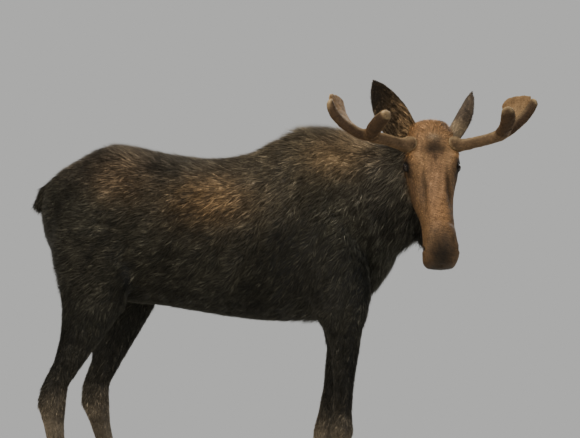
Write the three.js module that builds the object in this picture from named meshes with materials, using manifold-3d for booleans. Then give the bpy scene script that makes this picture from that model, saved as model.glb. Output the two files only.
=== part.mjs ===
// A young bull moose in summer coat, standing still with its head turned to its right.
// Millimetres, +Z up. The body faces +X and its left side is +Y. Each solid reaches the tips of the coat.
// The whole animal is lofted first, then parted with thin cuts into the pieces that a person would name.
import * as THREE from "three";
import { mergeVertices } from "three/addons/utils/BufferGeometryUtils.js";
import Module from "manifold-3d";

const wasm = await Module();
wasm.setup();

// ---- driving dimensions ----
const GAP = 0.3; // between neighbouring pieces
const FAR = 4000; // larger than the animal, for cutting blocks
const LEG_CUTS = {
  // where the legs are parted from the trunk: level on the middle line, and how far along the body it reaches
  fore: { level: 985, from: -60 },
  hind: { level: 1035, from: -560 },
};
const LEG_CUT_RISE = 0.35; // how fast those cuts rise away from the middle line
const NECK_CUT = { through: [312, 0, 1450], facing: [0.968, 0, 0.252] };
const KNEE_LEVEL = 535;
const HOCK_LEVEL = 625;
const CORONET_LEVEL = 82;
const STANCE_TOP = 1450; // a leg swings forward or back about this level
const EYE = { along: 178, out: 104, up: -52, radius: 21 }; // in the head's own frame
const TORSO_SIDES = 22;
const HEAD_SIDES = 18;
const LEG_SIDES = 12;
const JAW_SIDES = 10;
const CLAW_SIDES = 10;
const ANTLER_SIDES = 9;
const SMALL_SIDES = 10; // tail and bell
const EYE_SIDES = [10, 7];
const LEG_SQUARENESS = 2.1;
const ANTLER_SQUARENESS = 2.2;
const ENDS = {
  // how far the closing point of each loft stands out beyond its first and its last section
  torso: [22, 20],
  skull: [12, 14],
  jaw: [20, 10],
  tail: [0, 8],
  bell: [0, 10],
};
const HEAD = {
  poll: [645, -160, 1842], // top of the skull between the ears
  heading: -69, // degrees, turned to the right of the body
  droop: 60, // degrees, nose below the horizontal
};
const STANCE = [
  // legs, with how far the hoof stands ahead of its plainest place
  { name: "fore_right", fore: true, side: -1, ahead: 15 },
  { name: "fore_left", fore: true, side: 1, ahead: -215 },
  { name: "hind_right", fore: false, side: -1, ahead: -30 },
  { name: "hind_left", fore: false, side: 1, ahead: 170 },
];

// ---- outlines, from hind to fore: top and bottom of each section, half its width, ----
// ---- its squareness (2 is an ellipse) and how far up its widest level sits, -1 to 1 ----
const TORSO = [
  { name: "buttock", top: [-1070, 0, 1545], bottom: [-1072, 0, 1370], half: 84, square: 2, lean: 0 },
  { name: "seat", top: [-1030, 0, 1618], bottom: [-1018, 0, 1245], half: 146, square: 2.1, lean: 0.1 },
  { name: "croup", top: [-900, 0, 1697], bottom: [-890, 0, 1135], half: 204, square: 2.1, lean: 0.1 },
  { name: "hip", top: [-755, 0, 1752], bottom: [-750, 0, 1078], half: 236, square: 2.1, lean: 0.1 },
  { name: "loin", top: [-560, 0, 1716], bottom: [-560, 0, 1060], half: 238, square: 2.1, lean: 0.02 },
  { name: "back", top: [-330, 0, 1690], bottom: [-330, 0, 1024], half: 256, square: 2.15, lean: -0.05 },
  { name: "girth", top: [-140, 0, 1724], bottom: [-140, 0, 1000], half: 250, square: 2.05, lean: -0.1 },
  { name: "withers", top: [40, 0, 1818], bottom: [40, 0, 995], half: 226, square: 1.9, lean: -0.12 },
  { name: "shoulder", top: [190, 0, 1812], bottom: [205, 0, 1020], half: 205, square: 1.9, lean: -0.1 },
  { name: "neck root", top: [320, -8, 1778], bottom: [386, -5, 1150], half: 168, square: 1.95, lean: -0.02 },
  { name: "mid neck", top: [430, -34, 1752], bottom: [465, -24, 1285], half: 138, square: 2, lean: 0 },
  { name: "upper neck", top: [528, -82, 1768], bottom: [562, -56, 1352], half: 118, square: 2, lean: 0 },
  { name: "throat", top: [605, -128, 1800], bottom: [592, -46, 1540], half: 100, square: 2, lean: 0 },
  { name: "occiput", top: [628, -145, 1805], bottom: [600, -60, 1650], half: 80, square: 2, lean: 0 },
];
const TORSO_BULGES = [
  { at: [-655, 190, 1640], reach: 90, rise: 12 }, // point of the hip
  { at: [-540, 235, 1400], reach: 150, rise: -20 }, // hollow of the flank
  { at: [-190, 250, 1300], reach: 210, rise: 10 }, // spring of the ribs
  { at: [60, 170, 1640], reach: 130, rise: 10 }, // top of the shoulder blade
];

// The skull and muzzle lie along their own X, from poll to lip, with the forehead up.
const SKULL = [
  { name: "nape", top: [-38, 0, -58], bottom: [-38, 0, -180], half: 46, square: 2, lean: 0.1 },
  { name: "poll", top: [0, 0, 12], bottom: [0, 0, -222], half: 84, square: 2.2, lean: 0.3 },
  { name: "brow", top: [95, 0, 16], bottom: [95, 0, -242], half: 104, square: 2.3, lean: 0.42 },
  { name: "eyes", top: [180, 0, 6], bottom: [180, 0, -236], half: 108, square: 2.2, lean: 0.42 },
  { name: "cheek", top: [255, 0, -8], bottom: [255, 0, -208], half: 95, square: 2.1, lean: 0.1 },
  { name: "bridge", top: [330, 0, -12], bottom: [330, 0, -180], half: 81, square: 2.1, lean: -0.1 },
  { name: "nose", top: [415, 0, -3], bottom: [415, 0, -160], half: 70, square: 2.2, lean: -0.05 },
  { name: "muzzle", top: [495, 0, 3], bottom: [495, 0, -158], half: 70, square: 2.3, lean: 0 },
  { name: "nostril", top: [558, 0, -8], bottom: [563, 0, -168], half: 71, square: 2.4, lean: -0.05 },
  { name: "lip", top: [603, 0, -34], bottom: [610, 0, -171], half: 74, square: 2.5, lean: -0.15 },
  { name: "lip edge", top: [632, 0, -70], bottom: [634, 0, -155], half: 60, square: 2.5, lean: -0.1 },
];
const SKULL_BULGES = [
  { at: [15, 0, 15], reach: 55, rise: 12 }, // crown between the antlers
  { at: [176, 112, -50], reach: 36, rise: 14 }, // rim of the eye socket
  { at: [190, 98, -160], reach: 60, rise: 8 }, // jaw muscle
  { at: [580, 72, -70], reach: 34, rise: 7 }, // wing of the nostril
];
const JAW = [
  { name: "angle", top: [105, 0, -150], bottom: [105, 0, -242], half: 66, square: 2, lean: -0.2 },
  { name: "branch", top: [220, 0, -140], bottom: [220, 0, -222], half: 60, square: 2, lean: -0.2 },
  { name: "bar", top: [360, 0, -130], bottom: [360, 0, -196], half: 42, square: 2, lean: -0.1 },
  { name: "gape", top: [480, 0, -130], bottom: [480, 0, -188], half: 40, square: 2, lean: 0 },
  { name: "chin", top: [550, 0, -140], bottom: [550, 0, -197], half: 44, square: 2.2, lean: 0 },
  { name: "lower lip", top: [592, 0, -158], bottom: [590, 0, -190], half: 30, square: 2.2, lean: 0 },
];

// Legs, from the body down: level, hind and fore edges, distance from the middle line, half the thickness.
const FORELEG = [
  { name: "blade top", level: 1600, hind: 15, fore: 150, out: 118, half: 50 },
  { name: "blade", level: 1450, hind: 10, fore: 275, out: 142, half: 76 },
  { name: "point of shoulder", level: 1260, hind: 55, fore: 372, out: 150, half: 85 },
  { name: "upper arm", level: 1130, hind: 95, fore: 385, out: 156, half: 81 },
  { name: "elbow", level: 1040, hind: 130, fore: 374, out: 164, half: 74 },
  { name: "forearm top", level: 960, hind: 180, fore: 347, out: 168, half: 62 },
  { name: "forearm", level: 885, hind: 207, fore: 335, out: 170, half: 53 },
  { name: "lower forearm", level: 720, hind: 217, fore: 306, out: 171, half: 43 },
  { name: "above knee", level: 610, hind: 212, fore: 299, out: 172, half: 43 },
  { name: "knee", level: 535, hind: 201, fore: 305, out: 172, half: 50 },
  { name: "below knee", level: 455, hind: 207, fore: 281, out: 172, half: 35 },
  { name: "cannon", level: 330, hind: 210, fore: 264, out: 172, half: 29 },
  { name: "above fetlock", level: 240, hind: 203, fore: 268, out: 172, half: 34 },
  { name: "fetlock", level: 185, hind: 194, fore: 277, out: 172, half: 40 },
  { name: "pastern", level: 125, hind: 213, fore: 286, out: 172, half: 37 },
  { name: "coronet", level: 70, hind: 216, fore: 314, out: 172, half: 46 },
];
const HINDLEG = [
  { name: "rump", level: 1610, hind: -890, fore: -690, out: 118, half: 60 },
  { name: "haunch", level: 1450, hind: -1000, fore: -650, out: 140, half: 92 },
  { name: "thigh", level: 1290, hind: -1012, fore: -640, out: 150, half: 102 },
  { name: "lower thigh", level: 1160, hind: -978, fore: -645, out: 156, half: 94 },
  { name: "stifle", level: 1060, hind: -958, fore: -672, out: 160, half: 80 },
  { name: "gaskin top", level: 950, hind: -960, fore: -750, out: 162, half: 62 },
  { name: "gaskin", level: 830, hind: -985, fore: -840, out: 164, half: 49 },
  { name: "above hock", level: 720, hind: -1040, fore: -915, out: 165, half: 38 },
  { name: "hock", level: 640, hind: -1056, fore: -925, out: 166, half: 45 },
  { name: "below hock", level: 560, hind: -1028, fore: -932, out: 166, half: 37 },
  { name: "cannon", level: 400, hind: -990, fore: -922, out: 166, half: 32 },
  { name: "above fetlock", level: 250, hind: -975, fore: -905, out: 166, half: 34 },
  { name: "fetlock", level: 190, hind: -970, fore: -888, out: 166, half: 39 },
  { name: "pastern", level: 125, hind: -942, fore: -868, out: 166, half: 37 },
  { name: "coronet", level: 70, hind: -936, fore: -838, out: 166, half: 46 },
];
// Each hoof is two claws, `spread` out from the middle of the leg and `ahead` of the middle of the coronet.
const CLAW = { length: 132, width: 45, height: 81.7, spread: 25, ahead: 16 };
const CLAW_LEVELS = [
  // rise up the wall, how far the toe and heel have drawn in, and the width that is left
  { rise: 0, toe: 2, heel: 2, width: 0.94 },
  { rise: 0.14, toe: 3, heel: 0, width: 1 },
  { rise: 0.6, toe: 21, heel: 4, width: 0.95 },
  { rise: 1, toe: 34, heel: 8, width: 0.88 },
];
const CLAW_POINT = 0.5; // how much narrower the toe is than the heel
const CLAW_INNER_FACE = 0.8; // the two claws face each other with flatter sides
const DEWCLAW = { length: 46, radius: 15, level: 118, behind: 10, out: 25, sides: 7, lean: 0.5 };

const TAIL = [
  { name: "root", top: [-985, 0, 1648], bottom: [-1010, 0, 1560], half: 42, square: 2, lean: 0 },
  { name: "middle", top: [-1080, 0, 1580], bottom: [-1068, 0, 1492], half: 33, square: 2, lean: 0 },
  { name: "tip", top: [-1122, 0, 1508], bottom: [-1098, 0, 1472], half: 15, square: 2, lean: 0 },
];
const BELL = [
  { name: "root", top: [622, -90, 1560], bottom: [540, -42, 1480], half: 34, square: 2, lean: 0 },
  { name: "middle", top: [612, -80, 1440], bottom: [562, -50, 1420], half: 22, square: 2, lean: 0 },
  { name: "tip", top: [602, -74, 1362], bottom: [580, -60, 1356], half: 12, square: 2, lean: 0 },
];

// Ears and antlers are placed from the poll: side (left is plus), ahead (the way the face points), up.
const EARS = {
  ear_right: {
    base: [-92, -26, -84],
    tip: [-250, 8, 178],
    opening: [-0.3, 1, 0.05],
    half: 69,
    cup: 0.58,
    bow: 5,
  },
  ear_left: {
    base: [76, -18, -96],
    tip: [202, -135, 130],
    opening: [0.55, -0.7, 0.35],
    half: 36,
    cup: 0.75,
    bow: 15,
  },
};
const EAR_LEAF = {
  thickness: 9,
  rim: 3, // half the width of the very tip
  spans: 8,
  turns: 6,
  rootPart: 0.2, // the share of the leaf's swelling that lies before the root
  fullness: 0.7,
  rootCup: 1.5,
  tipCup: 0.6,
};
const ANTLERS = {
  left: {
    side: 1,
    beam: [
      { at: [65, 42, -92], thin: 62, broad: 62 },
      { at: [99, 48, -94], thin: 74, broad: 74 },
      { at: [123, 56, -96], thin: 56, broad: 58 },
      { at: [210, 84, -76], thin: 53, broad: 56 },
      { at: [285, 104, -52], thin: 56, broad: 66 },
      { at: [313, 104, -34], thin: 52, broad: 66 },
    ],
    brow: [
      { at: [277, 100, -52], thin: 52, broad: 56 },
      { at: [293, 160, -18], thin: 52, broad: 64 },
      { at: [291, 215, 24], thin: 48, broad: 68 },
      { at: [281, 240, 52], thin: 36, broad: 50 },
    ],
    front: [
      { at: [290, 100, -48], thin: 54, broad: 54 },
      { at: [347, 92, -10], thin: 48, broad: 54 },
      { at: [400, 84, 42], thin: 46, broad: 52 },
      { at: [430, 80, 90], thin: 40, broad: 44 },
    ],
    rear: [
      { at: [313, 82, -30], thin: 42, broad: 56 },
      { at: [347, 48, 6], thin: 34, broad: 96 },
      { at: [365, 4, 52], thin: 30, broad: 146 },
      { at: [373, -24, 94], thin: 26, broad: 172 },
      { at: [376, -30, 110], thin: 18, broad: 134 },
    ],
  },
  right: {
    side: -1,
    beam: [
      { at: [78, 42, -92], thin: 62, broad: 62 },
      { at: [112, 48, -94], thin: 76, broad: 76 },
      { at: [136, 56, -94], thin: 58, broad: 60 },
      { at: [213, 88, -72], thin: 53, broad: 56 },
      { at: [276, 108, -60], thin: 56, broad: 66 },
      { at: [306, 110, -50], thin: 52, broad: 66 },
    ],
    brow: [
      { at: [280, 108, -60], thin: 58, broad: 60 },
      { at: [276, 165, -32], thin: 62, broad: 66 },
      { at: [254, 218, 6], thin: 60, broad: 66 },
      { at: [234, 256, 32], thin: 46, broad: 50 },
    ],
    front: [
      { at: [288, 106, -60], thin: 54, broad: 54 },
      { at: [350, 100, -36], thin: 48, broad: 54 },
      { at: [414, 92, 14], thin: 46, broad: 52 },
      { at: [443, 84, 60], thin: 44, broad: 50 },
      { at: [448, 78, 88], thin: 36, broad: 40 },
    ],
    rear: [
      { at: [320, 86, -44], thin: 42, broad: 56 },
      { at: [366, 54, -8], thin: 34, broad: 92 },
      { at: [396, 22, 44], thin: 30, broad: 126 },
      { at: [408, 0, 94], thin: 26, broad: 140 },
      { at: [410, -6, 112], thin: 18, broad: 114 },
    ],
  },
};
// Which way the thin side of each piece of the left antler faces: side, ahead, up.
const BEAM_FACES = [0, 0, 1];
const BROW_FACES = [0, -0.5, 0.86];
const PALM_FACES = [-0.62, 0.3, 0.72];
const ANTLER_BLUNTNESS = 0.3; // how far a tip is rounded out, of its thickness

// ---- shapes ----
const vector = (values) => new THREE.Vector3(...values);

// A smooth line through one named value of each station, taken at equal steps from station to station.
function lineThrough(stations, value) {
  return new THREE.CatmullRomCurve3(stations.map((s) => vector(value(s))), false, "catmullrom", 0.5);
}

// One point of a section: the superellipse runs from the top (angle 0) round the left side.
function sectionPoint(ring, angle) {
  const power = 2 / ring.square;
  const up = Math.sign(Math.cos(angle)) * Math.abs(Math.cos(angle)) ** power;
  const across = Math.sign(Math.sin(angle)) * Math.abs(Math.sin(angle)) ** power;
  return ring.middle
    .clone()
    .addScaledVector(ring.rise, up + ring.lean * (1 - up * up))
    .addScaledVector(ring.left, across * ring.half);
}

// How far all the bulges push a point outwards; those beside the middle line are mirrored.
function bulgeAt(point, bulges) {
  let push = 0;
  for (const { at, reach, rise } of bulges) {
    const away = Math.hypot(point.x - at[0], Math.abs(point.y) - at[1], point.z - at[2]);
    push += rise * Math.exp(-((away / reach) ** 2));
  }
  return push;
}

// The faces of the wall between each ring of points and the next.
function wallFaces(rings) {
  const sides = rings[0].length;
  const faces = [];
  for (let r = 0; r + 1 < rings.length; r++)
    for (let k = 0; k < sides; k++) {
      const a = r * sides + k;
      const b = r * sides + ((k + 1) % sides);
      faces.push(a, b, a + sides, b, b + sides, a + sides);
    }
  return faces;
}

// Joins rings of points into one closed surface, with a fan over each end.
function closeRings(rings, startPole, endPole) {
  const sides = rings[0].length;
  const points = [...rings.flat(), startPole, endPole];
  const faces = wallFaces(rings);
  const last = (rings.length - 1) * sides;
  for (let k = 0; k < sides; k++) {
    const next = (k + 1) % sides;
    faces.push(points.length - 2, next, k);
    faces.push(points.length - 1, last + k, last + next);
  }
  return solidFrom(points, faces);
}

// A closed manifold-3d solid from points and faces, turned so that its faces point out.
function solidFrom(points, faces) {
  const geometry = new THREE.BufferGeometry().setFromPoints(points);
  const vertProperties = geometry.attributes.position.array;
  const make = (triVerts) => new wasm.Manifold(new wasm.Mesh({ numProp: 3, vertProperties, triVerts }));
  const solid = make(new Uint32Array(faces));
  return solid.volume() > 0 ? solid : make(new Uint32Array([...faces].reverse()));
}

// A loft through stations with a top, a bottom and a half width. `grow` swells it for use as a cutter.
function loft(stations, { steps = 2, sides = 16, bulges = [], ends = [0, 0], grow = 0 } = {}) {
  const top = lineThrough(stations, (s) => s.top);
  const bottom = lineThrough(stations, (s) => s.bottom);
  const form = lineThrough(stations, (s) => [s.half, s.square, s.lean]);
  const count = (stations.length - 1) * steps;
  const middleAt = (t) => top.getPoint(t).add(bottom.getPoint(t)).multiplyScalar(0.5);
  const rings = [];
  const poles = [];
  for (let i = 0; i <= count; i++) {
    const t = i / count;
    const rise = top.getPoint(t).sub(bottom.getPoint(t)).multiplyScalar(0.5);
    const before = middleAt(Math.max(0, t - 1 / count));
    const along = middleAt(Math.min(1, t + 1 / count)).sub(before).normalize();
    const left = rise.clone().cross(along).normalize();
    const [half, square, lean] = form.getPoint(t).toArray();
    const ring = { middle: middleAt(t), rise, left, half, square, lean };
    const endwards = i === 0 ? -grow : i === count ? grow : 0;
    rings.push(
      Array.from({ length: sides }, (_, k) => {
        const point = sectionPoint(ring, (2 * Math.PI * k) / sides);
        const outward = point.clone().sub(ring.middle).normalize();
        point.addScaledVector(outward, bulgeAt(point, bulges) + grow);
        return point.addScaledVector(along, endwards);
      }),
    );
    if (i === 0) poles.push(ring.middle.clone().addScaledVector(along, -ends[0] - grow));
    if (i === count) poles.push(ring.middle.clone().addScaledVector(along, ends[1] + grow));
  }
  return closeRings(rings, poles[0], poles[1]);
}

// The frame of the head: X from poll to lip, Y to its left, Z out of the forehead.
function headFrame() {
  const heading = THREE.MathUtils.degToRad(HEAD.heading);
  const droop = THREE.MathUtils.degToRad(HEAD.droop);
  const ahead = new THREE.Vector3(Math.cos(heading), Math.sin(heading), 0);
  const along = ahead.clone().multiplyScalar(Math.cos(droop)).setZ(-Math.sin(droop));
  const forehead = ahead.clone().multiplyScalar(Math.sin(droop)).setZ(Math.cos(droop));
  const left = forehead.clone().cross(along);
  return new THREE.Matrix4().makeBasis(along, left, forehead).setPosition(...HEAD.poll);
}

// The level frame at the poll: X to the head's left, Y the way the face points, Z up.
function pollFrame() {
  const heading = THREE.MathUtils.degToRad(HEAD.heading);
  const ahead = new THREE.Vector3(Math.cos(heading), Math.sin(heading), 0);
  const left = new THREE.Vector3(-ahead.y, ahead.x, 0);
  const frame = new THREE.Matrix4().makeBasis(left, ahead, new THREE.Vector3(0, 0, 1));
  return frame.setPosition(...HEAD.poll);
}

// A solid carried from its own frame into the body's; a mirrored frame isn't needed here.
function placed(solid, frame) {
  return solid.transform(frame.toArray());
}

// A big block on one side of a plane, moved a little further along its normal by `back`.
function block(point, normal, back = 0) {
  const out = vector(normal).normalize();
  const box = new THREE.BoxGeometry(FAR, FAR, FAR).translate(0, 0, FAR / 2);
  box.applyQuaternion(new THREE.Quaternion().setFromUnitVectors(new THREE.Vector3(0, 0, 1), out));
  box.translate(...vector(point).addScaledVector(out, back).toArray());
  return solidOfGeometry(box);
}

// A three.js geometry as a manifold-3d solid, its doubled corners merged.
function solidOfGeometry(geometry) {
  geometry.deleteAttribute("normal");
  geometry.deleteAttribute("uv");
  const merged = mergeVertices(geometry, 1e-3);
  const position = merged.attributes.position;
  const pointAt = (_, i) => new THREE.Vector3().fromBufferAttribute(position, i);
  const points = Array.from({ length: position.count }, pointAt);
  const corners = Array.from(merged.index.array);
  const faces = [];
  for (let i = 0; i < corners.length; i += 3) {
    const [a, b, c] = corners.slice(i, i + 3);
    if (a !== b && b !== c && c !== a) faces.push(a, b, c);
  }
  return solidFrom(points, faces);
}

// Parts a solid along a plane: the piece on the side the normal points to, and the rest, a gap between.
function part(solid, point, normal) {
  const beyond = solid.intersect(block(point, normal, GAP / 2));
  const rest = solid.subtract(block(point, normal, -GAP / 2));
  return [beyond, rest];
}

// ---- the animal ----
const outlineOf = (leg) => (leg.fore ? FORELEG : HINDLEG);

// How far a leg has swung forward at a level, by where its hoof stands.
const swingAt = (leg, level) => leg.ahead * Math.max(0, 1 - level / STANCE_TOP);

function makeLeg(leg, grow = 0) {
  const stations = outlineOf(leg).map(({ level, hind, fore, out, half }) => ({
    top: [fore + swingAt(leg, level), leg.side * out, level],
    bottom: [hind + swingAt(leg, level), leg.side * out, level],
    half,
    square: LEG_SQUARENESS,
    lean: 0,
  }));
  return loft(stations, { sides: LEG_SIDES, steps: 1, grow });
}

// One claw of a cloven hoof: an almond sole on the floor, its wall sloping back from the toe.
// `inner` is the side of the claw that faces the other one, 1 or -1.
function claw(inner) {
  const rings = CLAW_LEVELS.map(({ rise, toe, heel, width }) =>
    Array.from({ length: CLAW_SIDES }, (_, k) => {
      const angle = (2 * Math.PI * k) / CLAW_SIDES;
      const ahead = Math.cos(angle);
      const half = CLAW.length / 2 - (ahead > 0 ? toe : heel);
      const taper = 1 - CLAW_POINT * Math.max(0, ahead) ** 1.5;
      const flat = Math.sin(angle) * inner > 0 ? CLAW_INNER_FACE : 1;
      const across = (Math.sin(angle) * taper * flat * width * CLAW.width) / 2;
      return new THREE.Vector3(ahead * half, across, rise * CLAW.height);
    }),
  );
  const middleOf = (ring) => new THREE.Vector3(0, 0, ring[0].z);
  return closeRings(rings, middleOf(rings[0]), middleOf(rings.at(-1)));
}

// A blunt horn cone that points back and down.
function dewclaw() {
  const { length, radius, sides, lean } = DEWCLAW;
  const profile = [
    [0, 0],
    [radius * 0.55, length * 0.1],
    [radius, length * 0.5],
    [radius * 0.9, length],
    [0, length],
  ].map(([x, y]) => new THREE.Vector2(x, y));
  const cone = new THREE.LatheGeometry(profile, sides).rotateX(Math.PI / 2).rotateY(-lean);
  return solidOfGeometry(cone);
}

// A cupped ear: a curved leaf of even thickness, widest below its middle and rolled to a tube at the root.
function ear({ base, tip, opening, half, cup, bow }) {
  const root = vector(base);
  const axis = vector(tip).sub(root);
  const length = axis.length();
  axis.normalize();
  const face = vector(opening).addScaledVector(axis, -vector(opening).dot(axis)).normalize();
  const across = axis.clone().cross(face);
  const { thickness, rim, spans, turns, rootPart, fullness, rootCup, tipCup } = EAR_LEAF;
  const rings = [];
  for (let i = 0; i <= spans; i++) {
    const t = i / spans;
    const wide = rim + half * Math.sin(Math.PI * Math.min(1, rootPart + (1 - rootPart) * t)) ** fullness;
    const deep = wide * cup * THREE.MathUtils.lerp(rootCup, tipCup, t);
    const lift = root.clone().addScaledVector(axis, length * t);
    lift.addScaledVector(across, bow * Math.sin(Math.PI * t));
    const at = (q, out) =>
      lift
        .clone()
        .addScaledVector(across, q * wide)
        .addScaledVector(face, -deep * (1 - q * q) + out);
    const inside = [];
    const outside = [];
    for (let k = 0; k <= turns; k++) {
      const q = (2 * k) / turns - 1;
      inside.push(at(q, 0));
      outside.unshift(at(q, -thickness));
    }
    rings.push([...inside, ...outside]);
  }
  return stripClosed(rings);
}

// Closes rings that are two facing rows of points, with a strip over each end.
function stripClosed(rings) {
  const sides = rings[0].length;
  const faces = wallFaces(rings);
  const last = (rings.length - 1) * sides;
  for (let k = 0; k + 1 < sides / 2; k++) {
    const mirror = sides - 1 - k;
    faces.push(k + 1, k, mirror, k + 1, mirror, mirror - 1);
    faces.push(last + k, last + k + 1, last + mirror, last + k + 1, last + mirror - 1, last + mirror);
  }
  return solidFrom(rings.flat(), faces);
}

// A length of antler: flattened sections, thin the way `faces` points and broad across it.
function antlerLength(stations, side, faces, grow = 0) {
  const thinWay = vector(faces).normalize();
  thinWay.x *= side;
  const sections = stations.map(({ at, thin, broad }) => {
    const middle = vector([at[0] * side, at[1], at[2]]);
    return {
      top: middle.clone().addScaledVector(thinWay, thin / 2).toArray(),
      bottom: middle.clone().addScaledVector(thinWay, -thin / 2).toArray(),
      half: broad / 2,
      square: ANTLER_SQUARENESS,
      lean: 0,
    };
  });
  const blunt = stations.at(-1).thin * ANTLER_BLUNTNESS;
  return loft(sections, { sides: ANTLER_SIDES, ends: [0, blunt], grow });
}

function makeAntler({ side, beam, brow, front, rear }, poll, head) {
  const lengthOf = (stations, faces, grow) => placed(antlerLength(stations, side, faces, grow), poll);
  const wholeBeam = lengthOf(beam, BEAM_FACES, 0);
  const beamCutter = lengthOf(beam, BEAM_FACES, GAP);
  const frontTine = lengthOf(front, PALM_FACES, 0);
  const frontCutter = lengthOf(front, PALM_FACES, GAP);
  return {
    beam: wholeBeam.subtract(head),
    brow_tine: lengthOf(brow, BROW_FACES, 0).subtract(beamCutter).subtract(frontCutter),
    palm_front: frontTine.subtract(beamCutter),
    palm_rear: lengthOf(rear, PALM_FACES, 0).subtract(beamCutter).subtract(frontCutter),
  };
}

// The largest of the bodies that a cut has left, without its crumbs.
function main(solid) {
  const bodies = solid.decompose();
  return bodies.reduce((best, body) => (body.volume() > best.volume() ? body : best));
}

function material(colour, roughness) {
  return new THREE.MeshStandardMaterial({ color: colour, roughness, metalness: 0 });
}

const coat = material(0x33281e, 0.85);
const faceCoat = material(0x7a5c3e, 0.8);
const legCoat = material(0x5d5344, 0.85);
const velvet = material(0x5a4630, 0.9);
const horn = material(0x1d1915, 0.5);
const eyeball = material(0x0d0a08, 0.1);

function meshOf(name, solid, look) {
  const { vertProperties, triVerts, numProp, numVert } = main(solid).getMesh();
  const positions = new Float32Array(numVert * 3);
  for (let i = 0; i < numVert; i++) {
    const start = i * numProp;
    positions.set(vertProperties.subarray(start, start + 3), i * 3);
  }
  const geometry = new THREE.BufferGeometry();
  geometry.setAttribute("position", new THREE.BufferAttribute(positions, 3));
  geometry.setIndex(new THREE.BufferAttribute(new Uint32Array(triVerts), 1));
  const mesh = new THREE.Mesh(geometry, look);
  mesh.name = name;
  return mesh;
}

// The feet of one leg: two claws and two dewclaws, each placed by its own position.
function addFeet(group, leg) {
  const coronet = outlineOf(leg).at(-1);
  const ankle = makeLeg(leg, GAP);
  const hoofX = (coronet.hind + coronet.fore) / 2 + swingAt(leg, coronet.level) + CLAW.ahead;
  const spurX = coronet.hind + swingAt(leg, DEWCLAW.level) + DEWCLAW.behind;
  const middleY = leg.side * coronet.out;
  for (const [label, way] of [
    ["outer", leg.side],
    ["inner", -leg.side],
  ]) {
    const hoof = meshOf(`${leg.name}_hoof_${label}`, claw(-way), horn);
    hoof.position.set(hoofX, middleY + way * CLAW.spread, 0);
    group.add(hoof);
    const spur = dewclaw().translate(spurX, middleY + way * DEWCLAW.out, DEWCLAW.level);
    group.add(meshOf(`${leg.name}_dewclaw_${label}`, spur.subtract(ankle), horn));
  }
}

// Skull and jaw, in the body's frame, with the eye sockets open.
function makeHead(place, grow = 0) {
  const skull = loft(SKULL, { sides: HEAD_SIDES, bulges: SKULL_BULGES, ends: ENDS.skull, grow });
  const jaw = loft(JAW, { sides: JAW_SIDES, ends: ENDS.jaw, grow });
  return placed(skull.add(jaw), place);
}

function makeTorso(grow = 0) {
  return loft(TORSO, { sides: TORSO_SIDES, bulges: TORSO_BULGES, ends: ENDS.torso, grow });
}

function eyeBall(side, place, grow = 0) {
  const middle = new THREE.Vector3(EYE.along, side * EYE.out, EYE.up).applyMatrix4(place);
  const ball = new THREE.SphereGeometry(EYE.radius + grow, ...EYE_SIDES).translate(...middle.toArray());
  return solidOfGeometry(ball);
}

// The slab of space that one leg is taken from: its own side and end, under a cut that rises outwards.
function legSpace(leg, back) {
  const cut = LEG_CUTS[leg.fore ? "fore" : "hind"];
  const below = block([0, 0, cut.level], [0, leg.side * LEG_CUT_RISE, -1], back);
  const ownSide = block([0, 0, 0], [0, leg.side, 0]);
  const ownEnd = block([cut.from, 0, 0], [leg.fore ? 1 : -1, 0, 0]);
  return below.intersect(ownSide).intersect(ownEnd);
}

function addLeg(moose, leg, flesh) {
  const [aboveHoof] = part(flesh.intersect(legSpace(leg, GAP / 2)), [0, 0, CORONET_LEVEL], [0, 0, 1]);
  const [upper, lower] = part(aboveHoof, [0, 0, leg.fore ? KNEE_LEVEL : HOCK_LEVEL], [0, 0, 1]);
  const group = new THREE.Group();
  group.add(meshOf(`${leg.name}_upper_leg`, upper, coat));
  group.add(meshOf(`${leg.name}_lower_leg`, lower, legCoat));
  addFeet(group, leg);
  moose.add(group);
  return flesh.subtract(legSpace(leg, -GAP / 2));
}

function buildMoose() {
  const headPlace = headFrame();
  const poll = pollFrame();
  const grownHead = makeHead(headPlace, GAP);
  const grownTorso = makeTorso(GAP);
  const moose = new THREE.Group();

  let head = makeHead(headPlace);
  for (const [name, side] of [
    ["eye_left", 1],
    ["eye_right", -1],
  ]) {
    moose.add(meshOf(name, eyeBall(side, headPlace), eyeball));
    head = head.subtract(eyeBall(side, headPlace, GAP));
  }
  moose.add(meshOf("head", head, faceCoat));

  let flesh = STANCE.reduce((all, leg) => all.add(makeLeg(leg)), makeTorso()).subtract(grownHead);
  for (const leg of STANCE) flesh = addLeg(moose, leg, flesh);
  const [neck, trunk] = part(flesh, NECK_CUT.through, NECK_CUT.facing);
  moose.add(meshOf("neck", neck, coat));
  moose.add(meshOf("trunk", trunk, coat));
  const tail = loft(TAIL, { sides: SMALL_SIDES, ends: ENDS.tail });
  moose.add(meshOf("tail", tail.subtract(grownTorso), coat));
  const bell = loft(BELL, { sides: SMALL_SIDES, ends: ENDS.bell });
  const throat = neck.translate(GAP, 0, -GAP); // where the neck folds, a grown torso isn't enough
  moose.add(meshOf("bell", bell.subtract(grownTorso).subtract(throat).subtract(grownHead), coat));

  for (const [name, shape] of Object.entries(EARS)) {
    const leaf = placed(ear(shape), poll);
    moose.add(meshOf(name, leaf.subtract(grownHead).subtract(grownTorso), coat));
  }
  for (const [side, antler] of Object.entries(ANTLERS)) {
    const pieces = makeAntler(antler, poll, grownHead);
    const group = new THREE.Group();
    for (const [label, solid] of Object.entries(pieces))
      group.add(meshOf(`antler_${side}_${label}`, solid, velvet));
    moose.add(group);
  }
  return moose;
}

// The origin is under the middle of the whole animal, on the floor that it stands on.
function standAtOrigin(moose) {
  const box = new THREE.Box3().setFromObject(moose);
  const middle = box.getCenter(new THREE.Vector3());
  moose.position.set(-middle.x, -middle.y, -box.min.z);
  return moose;
}

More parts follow.
